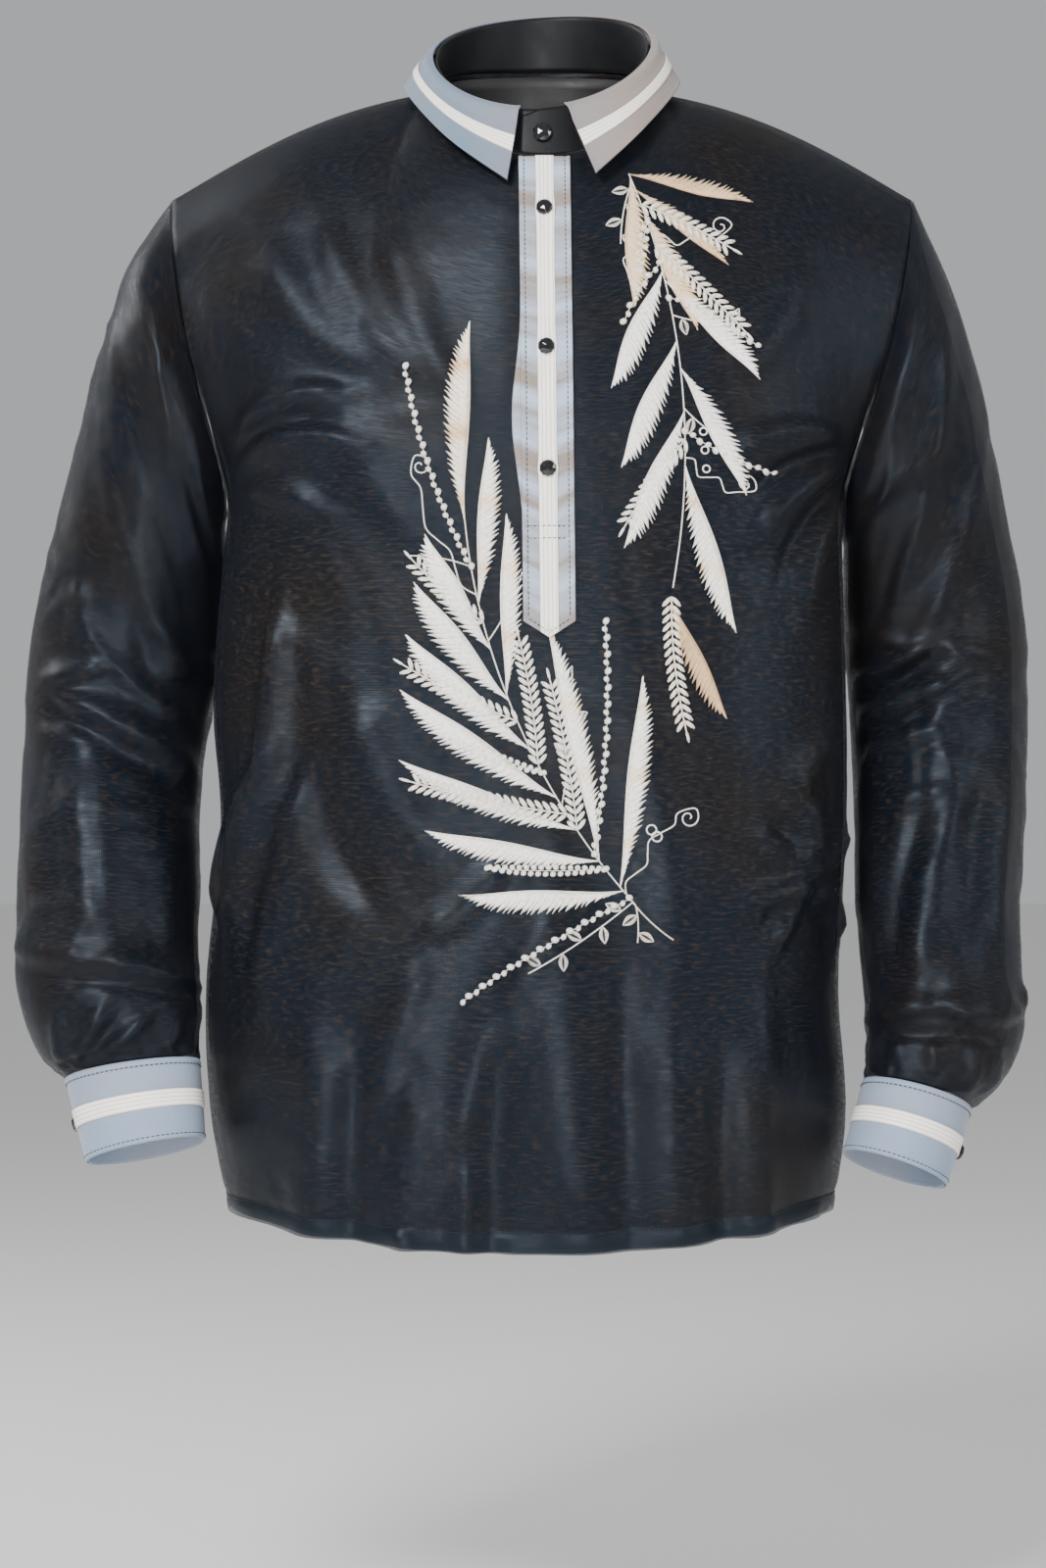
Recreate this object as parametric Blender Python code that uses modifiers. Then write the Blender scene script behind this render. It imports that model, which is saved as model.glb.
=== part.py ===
"""A long-sleeved pullover barong shirt, hollow as if worn, in metres with +Z up.

The origin is the middle of the neck's base. +X is the wearer's left, -Y is the front.
Every piece of cloth is a flat grid laid on the garment's form and given a wall.
"""
import math
from collections import namedtuple

import bmesh
import bpy
from mathutils import Vector

# Walls and gaps
WALL = 0.0012            # the organza shell
LINING_WALL = 0.001
TRIM_WALL = 0.001        # collar, cuffs and placket
RIBBON_WALL = 0.0008
SEAM_GAP = 0.0003        # between pieces sewn edge to edge
LINING_INSET = 0.006     # the lining hangs this far inside the shell
LINING_BACK_DEEPER = 0.007      # and more behind the hollow beside the neck
LAYER_GAP = 0.0004       # between layers that lie on each other
UNDER_COLLAR_SLACK = 1.15       # the under-collar lies this much looser than a layer
SHOULDER_SEAM_CLEAR = 0.0003    # more room where front and back meet at an angle

# Body of the shirt
BOXINESS = 2.4           # superellipse power of the level sections
ROWS_BELOW = 9           # rows of a panel's grid below the armpit
ROWS_ABOVE = 8           # and above it, as many as a sleeve has columns in half a turn
ARMPIT_SHARE = ROWS_BELOW / (ROWS_BELOW + ROWS_ABOVE)
HEM_RISE = 0.020         # the hem is higher at the side seams
NECK_SHARE = 0.40        # share of a panel's half width that ends at the neckline
SHOULDER_CROWN = 0.011   # rise of the shoulder seam above a straight line
LINING_SHORTER = 0.035   # share of the height by which the lining's hem is shorter
LINING_TOP = 0.950       # the lining ends just short of the shell's top seams
RISE_REACH = 0.38        # how far a column rises upright from the armpit, as a share of its way
FRONT_REACH = 0.30       # how far it keeps its arriving direction at the top of the front
BACK_REACH = 0.30        # and of the back
BACK_REACH_ADDED = 0.12  # added to the back's towards the shoulder seam

# Neckline and collar, as radii and heights of tilted rings
NECK_HALF_WIDTH = 0.079
NECK_HALF_DEPTH = 0.074
NECK_CENTRE_Y = 0.004
NECK_HEIGHTS = (0.0095, 0.0390, -0.0065)      # mean, front-to-back and saddle terms
FOLD_HALF_WIDTH = 0.0720
FOLD_HALF_DEPTH = 0.0680
FOLD_HEIGHTS = (0.0423, 0.0415, -0.0038)
FOLD_TILT = 0.005        # the fold line is higher on the wearer's left
SHOULDER_POINT_ANGLE = 90.0
STAND_OVERLAP = 11.25    # degrees that each stand end passes the centre front
STAND_ROUNDING = 0.15    # share of the stand's height that its rounded ends lose
SPIRAL = 0.0011          # half the distance between the lapped ends of a band

# Placket
PLACKET_WIDTH = 0.034
UNDER_WIDTH = 0.031
PLACKET_TOP = -0.0370
PLACKET_END = -0.3600
PLACKET_POINT = 0.011
PLACKET_CLEAR = 0.0011   # over the front panel, whose facets are not flat
PLACKET_ROWS = 9         # panel rows that the placket crosses from the neck down
PLACKET_X_TOP = 0.0012
PLACKET_X_END = 0.0045
UNDER_BULGE = 0.0075     # sideways bow of the under placket between two buttons
UNDER_BULGE_AT = -0.215
UNDER_BULGE_SPREAD = 0.050
RIBBON_WIDTH = 0.0120
SLIT_HALF_SHARE = 0.004  # half width of the front slit as a share of the half panel

# Cuffs
CUFF_LAP = 0.10          # share of a turn by which the cuff ends lap
SLEEVE_LINING_SPAN = (0.03, 0.93)    # the sleeve lining ends short of cap and cuff
SLEEVE_LINING_CLOSER = 0.35          # share of the inset that it loses at the cuff
CUFF_COLUMNS = 22
CUFF_RIBBON_COLUMNS = 19 # the ribbon ends before the lap
CUFF_RIBBON_SPAN = (0.39, 0.60)

# Buttons
SMALL_BUTTON = 0.0057    # radius
COLLAR_BUTTON = 0.0066
BUTTON_HEIGHT = 0.0032
BUTTON_SIDES = 12
PLACKET_BUTTONS = (-0.0745, -0.1680, -0.2485)
COLLAR_BUTTON_UP = 0.46  # share of the stand's height
CUFF_BUTTON_AT = 0.045   # share of the cuff's way round, on its lap
CUFF_BUTTON_CLEAR = 0.0006      # over the ribbon, whose facets are not flat

Section = namedtuple("Section", "height right left front back")
BODY_SECTIONS = (
    Section(-0.765, 0.213, 0.198, 0.126, 0.120),    # hem
    Section(-0.690, 0.226, 0.2070, 0.133, 0.126),   # low hip
    Section(-0.600, 0.229, 0.2020, 0.136, 0.126),   # hip
    Section(-0.490, 0.219, 0.2070, 0.133, 0.117),   # waist
    Section(-0.395, 0.224, 0.2070, 0.128, 0.116),   # ribs
    Section(-0.272, 0.214, 0.2035, 0.121, 0.112),   # armpit
)

Point = namedtuple("Point", "x y z")
FRONT_ARMHOLE = (
    Point(0.253, 0.005, -0.057),    # shoulder tip
    Point(0.248, -0.030, -0.098),
    Point(0.237, -0.048, -0.155),
    Point(0.222, -0.050, -0.205),
    Point(0.209, -0.034, -0.248),
    Point(0.2075, 0.000, -0.272),   # armpit
)
BACK_ARMHOLE = (
    Point(0.253, 0.005, -0.057),
    Point(0.248, 0.045, -0.095),
    Point(0.239, 0.068, -0.155),
    Point(0.227, 0.066, -0.205),
    Point(0.214, 0.040, -0.250),
    Point(0.2075, 0.000, -0.272),
)

SleeveRing = namedtuple("SleeveRing", "outer_x outer_z inner_x inner_z y half_depth pitch")
RIGHT_SLEEVE = (
    SleeveRing(0.281, -0.100, 0.2170, -0.284, 0.008, 0.079, 0),     # cap
    SleeveRing(0.304, -0.165, 0.2180, -0.300, 0.020, 0.076, 0),
    SleeveRing(0.320, -0.225, 0.2190, -0.325, 0.030, 0.072, -3),
    SleeveRing(0.338, -0.290, 0.2205, -0.358, 0.038, 0.068, -3),    # upper arm
    SleeveRing(0.351, -0.352, 0.2235, -0.386, 0.040, 0.065, 2),
    SleeveRing(0.356, -0.410, 0.2300, -0.425, 0.035, 0.063, 8),     # elbow
    SleeveRing(0.357, -0.470, 0.2360, -0.475, 0.020, 0.062, 14),
    SleeveRing(0.358, -0.530, 0.2350, -0.530, 0.000, 0.061, 15),
    SleeveRing(0.357, -0.575, 0.2350, -0.575, -0.017, 0.059, 15),
    SleeveRing(0.351, -0.610, 0.2325, -0.602, -0.031, 0.056, 14),   # pouch
    SleeveRing(0.337, -0.641, 0.2315, -0.628, -0.042, 0.045, 13),
)
LEFT_SLEEVE = (
    SleeveRing(0.272, -0.100, 0.2065, -0.284, 0.008, 0.079, 0),
    SleeveRing(0.296, -0.165, 0.2075, -0.300, 0.020, 0.076, 0),
    SleeveRing(0.310, -0.225, 0.2090, -0.325, 0.030, 0.072, -3),
    SleeveRing(0.324, -0.290, 0.2100, -0.356, 0.038, 0.068, -3),
    SleeveRing(0.335, -0.350, 0.2110, -0.385, 0.040, 0.065, 2),
    SleeveRing(0.336, -0.410, 0.2130, -0.425, 0.035, 0.064, 8),
    SleeveRing(0.334, -0.470, 0.2145, -0.475, 0.020, 0.063, 14),
    SleeveRing(0.328, -0.530, 0.2150, -0.526, 0.000, 0.062, 15),
    SleeveRing(0.325, -0.575, 0.2165, -0.569, -0.018, 0.061, 15),
    SleeveRing(0.325, -0.622, 0.2180, -0.606, -0.034, 0.058, 14),
    SleeveRing(0.309, -0.658, 0.2175, -0.636, -0.045, 0.049, 13),
)
RIGHT_CUFF = (
    SleeveRing(0.3200, -0.6548, 0.2310, -0.6420, -0.050, 0.0340, 13),
    SleeveRing(0.3040, -0.7097, 0.2261, -0.6941, -0.064, 0.0345, 13),
)
LEFT_CUFF = (
    SleeveRing(0.2875, -0.6749, 0.2158, -0.6551, -0.055, 0.0425, 13),
    SleeveRing(0.2691, -0.7250, 0.2009, -0.7020, -0.069, 0.0395, 13),
)

CollarRow = namedtuple("CollarRow", "angle x y z")
FALL_EDGE = (
    CollarRow(-11.25, -0.0235, -0.0885, -0.0545),   # wearer's right collar point
    CollarRow(-48, -0.0650, -0.0660, -0.0220),
    CollarRow(-90, -0.0940, 0.0040, 0.0215),
    CollarRow(-135, -0.0700, 0.0680, 0.0310),
    CollarRow(-180, 0.0000, 0.0940, 0.0345),     # centre back
    CollarRow(-225, 0.0700, 0.0680, 0.0320),
    CollarRow(-270, 0.0940, 0.0040, 0.0240),
    CollarRow(-312, 0.0660, -0.0660, -0.0190),
    CollarRow(-348.75, 0.0355, -0.0905, -0.0500),   # wearer's left collar point
)
# How a column of cloth arrives at the top edge: inward, backward and upward
FRONT_MIDDLE_WAY = Vector((0.00, 0.50, 0.85))
BACK_MIDDLE_WAY = Vector((0.00, 0.25, 0.95))
NECK_CORNER_WAY = Vector((0.30, 0.70, 0.45))
SHOULDER_WAY = Vector((0.00, 0.80, 0.22))
# How the fall leaves the stand: outward from its top, then outward and upward where it rolls
FALL_OUTSIDE = 0.0026
ROLL_OUT = 0.0030
ROLL_UP = 0.0016
RIBBON_ON_FALL = (0.40, 0.62)

Fold = namedtuple("Fold", "x0 z0 x1 z1 width height")
FRONT_FOLDS = (
    Fold(-0.178, -0.360, -0.186, -0.450, 0.026, 0.0050),    # long ridge at the right side
    Fold(-0.186, -0.450, -0.214, -0.560, 0.028, 0.0060),
    Fold(-0.200, -0.235, -0.120, -0.215, 0.030, 0.0040),    # drag line from the right armpit
    Fold(-0.090, -0.130, -0.130, -0.200, 0.030, 0.0030),
    Fold(0.195, -0.245, 0.130, -0.330, 0.026, 0.0040),      # drag line from the left armpit
    Fold(0.190, -0.470, 0.150, -0.540, 0.026, 0.0040),      # crumple at the left waist
    Fold(0.015, -0.540, 0.025, -0.740, 0.045, 0.0035),      # soft fold down the centre
    Fold(-0.050, -0.600, -0.075, -0.740, 0.034, 0.0040),
    Fold(-0.150, -0.620, -0.160, -0.760, 0.030, 0.0035),
    Fold(0.120, -0.640, 0.130, -0.760, 0.030, 0.0035),
)
BACK_FOLDS = (
    Fold(-0.120, -0.160, -0.150, -0.330, 0.032, 0.0045),
    Fold(0.120, -0.160, 0.145, -0.340, 0.032, 0.0045),
    Fold(-0.070, -0.420, -0.090, -0.760, 0.036, 0.0050),
    Fold(0.020, -0.480, 0.030, -0.760, 0.036, 0.0040),
    Fold(0.110, -0.400, 0.120, -0.760, 0.034, 0.0050),
    Fold(-0.170, -0.470, -0.120, -0.520, 0.028, 0.0040),
)

SLEEVE_RADIUS = 0.062    # of the chart on which sleeve folds are placed
SLEEVE_LENGTH = 0.66
SleeveFold = namedtuple("SleeveFold", "turn0 down0 turn1 down1 width height")
SLEEVE_FOLDS = (
    SleeveFold(0.10, 0.26, 0.34, 0.36, 0.026, 0.0040),     # drag line from the cap
    SleeveFold(0.16, 0.50, 0.40, 0.54, 0.028, 0.0045),     # elbow
    SleeveFold(0.60, 0.50, 0.86, 0.54, 0.028, 0.0035),
    SleeveFold(0.20, 0.66, 0.27, 0.86, 0.026, 0.0035),     # long fold down the forearm
    SleeveFold(0.68, 0.64, 0.76, 0.88, 0.026, 0.0035),
)

# Facets: columns and rows of each grid
BODY_GRID = (20, ROWS_BELOW + ROWS_ABOVE)
BODY_LINING_GRID = (12, 11)
SLEEVE_GRID = (2 * ROWS_ABOVE, 15)
SLEEVE_LINING_GRID = (11, 11)
STAND_GRID = (34, 1)
FALL_GRID = (30, 3)
UNDER_COLLAR_GRID = (30, 2)
RIBBON_GRID = (30, 1)

Finish = namedtuple("Finish", "colour roughness")
ORGANZA = Finish((0.018, 0.023, 0.028), 0.40)
LINING = Finish((0.008, 0.008, 0.009), 0.60)
GREY_CLOTH = Finish((0.330, 0.370, 0.440), 0.70)
BLACK_CLOTH = Finish((0.012, 0.013, 0.016), 0.45)
RIBBON = Finish((0.860, 0.820, 0.740), 0.60)
BUTTON = Finish((0.006, 0.006, 0.006), 0.12)


# ---------------------------------------------------------------- smooth tables

def smooth(rows, place):
    """Point on the smooth curve through the rows; place runs from 0 to len(rows) - 1."""
    last = len(rows) - 1
    i = min(max(int(math.floor(place)), 0), last - 1)
    t = place - i
    before = rows[max(i - 1, 0)]
    start = rows[i]
    end = rows[i + 1]
    after = rows[min(i + 2, last)]
    values = []
    for a, b, c, d in zip(before, start, end, after):
        slope = (c - a) * t
        bend = (2 * a - 5 * b + 4 * c - d) * t * t
        twist = (3 * b - a - 3 * c + d) * t ** 3
        values.append(b + 0.5 * (slope + bend + twist))
    return values


def ease(value):
    """Smooth step from 0 to 1."""
    t = min(max(value, 0.0), 1.0)
    return t * t * (3 - 2 * t)


# ---------------------------------------------------------------- form of the body

def armhole(side, front, share):
    """Seam of the armhole; share 0 is the shoulder tip and 1 the armpit."""
    rows = FRONT_ARMHOLE if front else BACK_ARMHOLE
    x, y, z = smooth(rows, share * (len(rows) - 1))
    armpit = BODY_SECTIONS[-1]
    half = armpit.left if side > 0 else armpit.right
    x *= 1 + (half / FRONT_ARMHOLE[-1].x - 1) * share
    return Vector((side * x, y, z))


def neckline(angle):
    """Seam of the neck; angle in degrees from the centre front, positive to +X."""
    a = math.radians(angle)
    mean, lean, saddle = NECK_HEIGHTS
    x = NECK_HALF_WIDTH * math.sin(a)
    y = NECK_CENTRE_Y - NECK_HALF_DEPTH * math.cos(a)
    z = mean - lean * math.cos(a) + saddle * math.cos(2 * a)
    return Vector((x, y, z))


def level_point(front, u, place):
    """Point of the level sections below the armpit."""
    height, right, left, front_depth, back_depth = smooth(BODY_SECTIONS, place)
    fade = (1 - place / (len(BODY_SECTIONS) - 1)) ** 2
    rise = HEM_RISE * (1 - math.cos(math.pi * u)) / 2 * fade
    across = math.sin(u * math.pi / 2)
    half = left if u > 0 else right
    depth = (1 - abs(across) ** BOXINESS) ** (1 / BOXINESS)
    y = -front_depth * depth if front else back_depth * depth
    return Vector((half * across, y, height + rise))


def top_edge(front, u):
    """End of a column at the neckline or the shoulder seam, and its direction there."""
    side = 1 if u >= 0 else -1
    share = abs(u)
    if share <= NECK_SHARE:
        turn = share / NECK_SHARE
        if front:
            angle = SHOULDER_POINT_ANGLE * turn
        else:
            angle = 180 - (180 - SHOULDER_POINT_ANGLE) * turn
        middle = FRONT_MIDDLE_WAY if front else BACK_MIDDLE_WAY
        way = middle.lerp(NECK_CORNER_WAY, turn)
        point = neckline(side * angle)
    else:
        turn = (share - NECK_SHARE) / (1 - NECK_SHARE)
        tip = armhole(side, front, 0)
        point = neckline(side * SHOULDER_POINT_ANGLE).lerp(tip, turn)
        point.z += SHOULDER_CROWN * math.sin(math.pi * turn ** 0.9)
        way = NECK_CORNER_WAY.lerp(SHOULDER_WAY, ease(turn * 1.4))
    back = 1 if front else -1
    return point, Vector((-side * way.x, back * way.y, way.z)).normalized()


def chest_point(front, u, rise):
    """Point between the armpit level (rise 0) and the top edge (rise 1)."""
    start = level_point(front, u, len(BODY_SECTIONS) - 1)
    end, way = top_edge(front, u)
    length = (end - start).length
    reach_up = start + Vector((0, 0, RISE_REACH * length))
    reach = FRONT_REACH
    if not front:
        reach = BACK_REACH + BACK_REACH_ADDED * min(abs(u) / NECK_SHARE, 1.0)
    reach_back = end - way * (reach * length)
    t = rise
    s = 1 - t
    point = start * s ** 3 + reach_up * 3 * s * s * t + reach_back * 3 * s * t * t + end * t ** 3
    return point


def form_point(front, u, v):
    """The garment's body without folds; u runs from -1 to 1 and v from the hem to the top."""
    if v <= ARMPIT_SHARE:
        return level_point(front, u, v / ARMPIT_SHARE * (len(BODY_SECTIONS) - 1))
    rise = (v - ARMPIT_SHARE) / (1 - ARMPIT_SHARE)
    point = chest_point(front, u, rise)
    side = 1 if u >= 0 else -1
    slack = armhole(side, front, 1 - rise) - chest_point(front, side, rise)
    return point + slack * abs(u) ** 3


def form_normal(front, u, v):
    """Outward direction of the form, worked out from its neighbours."""
    step = 0.004
    u0, u1 = max(u - step, -1), min(u + step, 1)
    v0, v1 = max(v - step, 0), min(v + step, 1)
    across = form_point(front, u1, v) - form_point(front, u0, v)
    up = form_point(front, u, v1) - form_point(front, u, v0)
    normal = across.cross(up).normalized()
    return normal if front else -normal


def ridge(x, z, folds):
    """Height of the folds over a point of the chart."""
    height = 0.0
    for fold in folds:
        run_x = fold.x1 - fold.x0
        run_z = fold.z1 - fold.z0
        length = math.hypot(run_x, run_z)
        along = ((x - fold.x0) * run_x + (z - fold.z0) * run_z) / length
        off = ((x - fold.x0) * run_z - (z - fold.z0) * run_x) / length
        past = max(-along, along - length, 0.0)
        height += fold.height * math.exp(-(off / fold.width) ** 2 - (past / fold.width) ** 2)
    return height


def body_point(front, u, v, lift=0.0):
    """The garment's body with its folds, moved out by lift."""
    base = form_point(front, u, v)
    normal = form_normal(front, u, v)
    folds = FRONT_FOLDS if front else BACK_FOLDS
    still = ease((1 - abs(u)) * 8) * ease((1 - v) * 6)
    height = ridge(base.x, base.z, folds) * still
    return base + normal * (height + lift)


def front_row(x, row, lift=0.0):
    """Point of the faceted front at x on one of its rows, near the centre."""
    v = min(row / BODY_GRID[1], 0.995)
    step = 2 / BODY_GRID[0]
    centre = body_point(True, 0.0, v)
    side = body_point(True, step if x > 0 else -step, v)
    share = x / side.x
    normal = form_normal(True, share * step, v)
    return centre.lerp(side, share) + normal * lift


def front_at(x, z, lift=0.0):
    """Point of the faceted front at x and z, near the centre."""
    row = BODY_GRID[1] - 1
    while row > 0 and front_row(x, row).z > z:
        row -= 1
    low, high = front_row(x, row, lift), front_row(x, row + 1, lift)
    base_low, base_high = front_row(x, row), front_row(x, row + 1)
    share = (z - base_low.z) / (base_high.z - base_low.z)
    return low.lerp(high, share)


# ---------------------------------------------------------------- form of the sleeves

def ring_point(row, side, angle):
    """Point of one sleeve ring; angle 0 is its outer point, positive to the front."""
    outer_x, outer_z, inner_x, inner_z, y, half_depth, pitch = row
    tilt = math.radians(pitch)
    middle = Vector((side * (outer_x + inner_x) / 2, y, (outer_z + inner_z) / 2))
    out = Vector((side * (outer_x - inner_x) / 2, 0, (outer_z - inner_z) / 2))
    forward = Vector((0, -math.cos(tilt), math.sin(tilt))) * half_depth
    return middle + out * math.cos(angle) + forward * math.sin(angle)


def armhole_ring(side, angle):
    """The armhole seam as the sleeve's first ring, just clear of the body."""
    front = math.sin(angle) >= 0
    share = math.acos(max(-1.0, min(1.0, math.cos(angle)))) / math.pi
    point = armhole(side, front, share)
    clear = SEAM_GAP * 2 + WALL * ease(share * 1.6 - 0.6)
    return point + Vector((side * clear, 0, 0))


def cuff_axis(cuff):
    """Direction from the top ring of a cuff to its bottom ring."""
    top = ring_middle(cuff[0])
    bottom = ring_middle(cuff[1])
    return (bottom - top).normalized()


def ring_middle(row):
    """Centre of a ring on the +X side."""
    return Vector(((row.outer_x + row.inner_x) / 2, row.y, (row.outer_z + row.inner_z) / 2))


def sleeve_point(side, around, along):
    """Point of a sleeve; around is a share of a turn and along runs from cap to cuff."""
    rows = LEFT_SLEEVE if side > 0 else RIGHT_SLEEVE
    cuff = LEFT_CUFF if side > 0 else RIGHT_CUFF
    angle = around * 2 * math.pi
    back_off = cuff_axis(cuff) * (SEAM_GAP + TRIM_WALL)
    back_off.x *= side
    rings = [armhole_ring(side, angle)]
    rings += [ring_point(row, side, angle) for row in rows]
    rings.append(ring_point(cuff[0], side, angle) - back_off)
    return Vector(smooth(rings, along * (len(rings) - 1)))


def sleeve_normal(side, around, along):
    """Outward direction of a sleeve."""
    step = 0.006
    low, high = max(along - step, 0), min(along + step, 1)
    turn = sleeve_point(side, around + step, along) - sleeve_point(side, around - step, along)
    down = sleeve_point(side, around, high) - sleeve_point(side, around, low)
    return turn.cross(down).normalized() * side


def sleeve_surface(side, around, along, lift=0.0):
    """A sleeve with its folds, moved out by lift."""
    base = sleeve_point(side, around, along)
    normal = sleeve_normal(side, around, along)
    height = 0.0
    for turn in (-1, 0, 1):
        x = (around % 1.0 + turn) * 2 * math.pi * SLEEVE_RADIUS
        height += ridge(x, along * SLEEVE_LENGTH, sleeve_chart())
    still = ease(along * 6) * ease((1 - along) * 7)
    return base + normal * (height * still + lift)


def sleeve_chart():
    """The sleeve folds in metres on the flat chart."""
    girth = 2 * math.pi * SLEEVE_RADIUS
    chart = []
    for fold in SLEEVE_FOLDS:
        start = (fold.turn0 * girth, fold.down0 * SLEEVE_LENGTH)
        end = (fold.turn1 * girth, fold.down1 * SLEEVE_LENGTH)
        chart.append(Fold(*start, *end, fold.width, fold.height))
    return chart


# ---------------------------------------------------------------- form of the collar

def fold_line(angle):
    """Top fold of the collar."""
    a = math.radians(angle)
    mean, lean, saddle = FOLD_HEIGHTS
    x = FOLD_HALF_WIDTH * math.sin(a)
    y = NECK_CENTRE_Y - FOLD_HALF_DEPTH * math.cos(a)
    z = mean - lean * math.cos(a) + saddle * math.cos(2 * a) + FOLD_TILT * math.sin(a)
    return Vector((x, y, z))


def collar_out(angle):
    """Level direction away from the neck."""
    a = math.radians(angle)
    return Vector((math.sin(a), -math.cos(a), 0))


def stand_point(around, up):
    """Collar stand, a band whose ends lap at the centre front."""
    angle = STAND_OVERLAP - around * (360 + 2 * STAND_OVERLAP)
    low = neckline(angle) + Vector((0, 0, 2 * SEAM_GAP + WALL / 2 + TRIM_WALL / 2))
    high = fold_line(angle) - Vector((0, 0, TRIM_WALL / 2))
    end = min(around, 1 - around) * (360 + 2 * STAND_OVERLAP)
    up *= 1 - STAND_ROUNDING * (1 - ease(end / STAND_OVERLAP))
    lapped = 2 * around - 1
    spiral = SPIRAL * lapped ** 4 * (1 if lapped > 0 else -1)
    return low.lerp(high, up) + collar_out(angle) * spiral


def fall_point(around, down, lift=0.0):
    """Collar fall; around runs from the right point round the back to the left point."""
    row = smooth(FALL_EDGE, around * (len(FALL_EDGE) - 1))
    start = fold_line(row[0])
    out = collar_out(row[0])
    start = start + out * FALL_OUTSIDE + Vector((0, 0, SEAM_GAP + TRIM_WALL / 2))
    edge = Vector(row[1:])
    roll = ease(down / 0.10)
    point = start.lerp(edge, down)
    point += out * (ROLL_OUT * roll * (1 - down) + lift)
    point.z += ROLL_UP * math.sin(math.pi * min(down / 0.25, 1.0)) + lift * 0.5
    return point


# ---------------------------------------------------------------- form of the cuffs and placket

def cuff_point(side, around, down, lift=0.0):
    """A cuff, lapped on its outer side towards the back."""
    cuff = LEFT_CUFF if side > 0 else RIGHT_CUFF
    turn = (around * (1 + CUFF_LAP) - CUFF_LAP) * 2 * math.pi
    point = ring_point(cuff[0], side, turn).lerp(ring_point(cuff[1], side, turn), down)
    middle = ring_middle(cuff[0]).lerp(ring_middle(cuff[1]), down)
    middle.x *= side
    out = (point - middle).normalized()
    spiral = SPIRAL * (1 - 2 * around)
    return point + out * (spiral + lift)


def placket_x(z):
    """Centre line of the placket."""
    share = (z - PLACKET_TOP) / (PLACKET_END - PLACKET_TOP)
    return PLACKET_X_TOP + (PLACKET_X_END - PLACKET_X_TOP) * share


def row_height(row):
    """Height of a row of the front at its centre."""
    return front_row(0.001, row).z


def strip_point(across, down, width, lift):
    """Pointed strip on the front along the placket; its rows are the panel's own."""
    place = down * (PLACKET_ROWS + 1)
    if place <= PLACKET_ROWS:
        row = BODY_GRID[1] - place
        return front_row(placket_x(row_height(row)) + across * width / 2, row, lift)
    x = placket_x(PLACKET_END) + across * width / 2
    end = front_at(x, PLACKET_END + PLACKET_POINT * abs(across) * width / PLACKET_WIDTH, lift)
    last = BODY_GRID[1] - PLACKET_ROWS
    start = front_row(placket_x(row_height(last)) + across * width / 2, last, lift)
    return start.lerp(end, place - PLACKET_ROWS)


def under_strip_point(across, down, lift):
    """Under placket, whose free edge bows out between two buttons."""
    row = BODY_GRID[1] - down * PLACKET_ROWS
    z = row_height(row)
    bow = UNDER_BULGE * math.exp(-((z - UNDER_BULGE_AT) / UNDER_BULGE_SPREAD) ** 2)
    return front_row(placket_x(z) + across * UNDER_WIDTH / 2 - bow, row, lift)


# ---------------------------------------------------------------- making meshes

def clear_scene():
    """Removes what the file holds before the shirt is made."""
    for item in list(bpy.data.objects):
        bpy.data.objects.remove(item, do_unlink=True)


def material_for(name, finish):
    """Principled material of one sub-part."""
    material = bpy.data.materials.new(name)
    material.use_nodes = True
    shader = material.node_tree.nodes["Principled BSDF"]
    shader.inputs["Base Color"].default_value = (*finish.colour, 1)
    shader.inputs["Roughness"].default_value = finish.roughness
    shader.inputs["Metallic"].default_value = 0.0
    return material


def add_object(name, mesh, finish, shirt):
    """Links a mesh to the shirt's collection with its own material."""
    mesh.materials.append(material_for(name, finish))
    item = bpy.data.objects.new(name, mesh)
    shirt.objects.link(item)
    return item


def add_cloth(name, grid, place, wall, finish, shirt, closed=False, slit=None):
    """Lays a grid of cloth by place(u, v), both from 0 to 1, and gives it a wall."""
    bm = bmesh.new()
    bmesh.ops.create_grid(bm, x_segments=grid[0], y_segments=grid[1], size=0.5)
    if slit:
        cut_slit(bm, slit)
    for vert in bm.verts:
        vert.co = place(vert.co.x + 0.5, vert.co.y + 0.5)
    if closed:
        bmesh.ops.remove_doubles(bm, verts=bm.verts, dist=1e-6)
    bmesh.ops.triangulate(bm, faces=bm.faces)
    mesh = bpy.data.meshes.new(name)
    bm.to_mesh(mesh)
    bm.free()
    mesh.shade_smooth()
    item = add_object(name, mesh, finish, shirt)
    solid = item.modifiers.new("Wall", "SOLIDIFY")
    solid.thickness = wall
    solid.offset = 0
    solid.use_even_offset = True
    return item


def cut_slit(bm, slit):
    """Opens the middle of a flat panel from its top edge down to the height slit."""
    half = SLIT_HALF_SHARE / 2
    middle = [v for v in bm.verts if abs(v.co.x) < 1e-6 and v.co.y + 0.5 > slit - 1e-6]
    cut = [e for e in bm.edges if e.verts[0] in middle and e.verts[1] in middle]
    bmesh.ops.split_edges(bm, edges=cut)
    for face in bm.faces:
        side = 1 if face.calc_center_median().x > 0 else -1
        for vert in face.verts:
            if abs(vert.co.x) < 1e-6 and vert.co.y + 0.5 > slit + 1e-6:
                vert.co.x = side * half


# ---------------------------------------------------------------- the pieces

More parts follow.
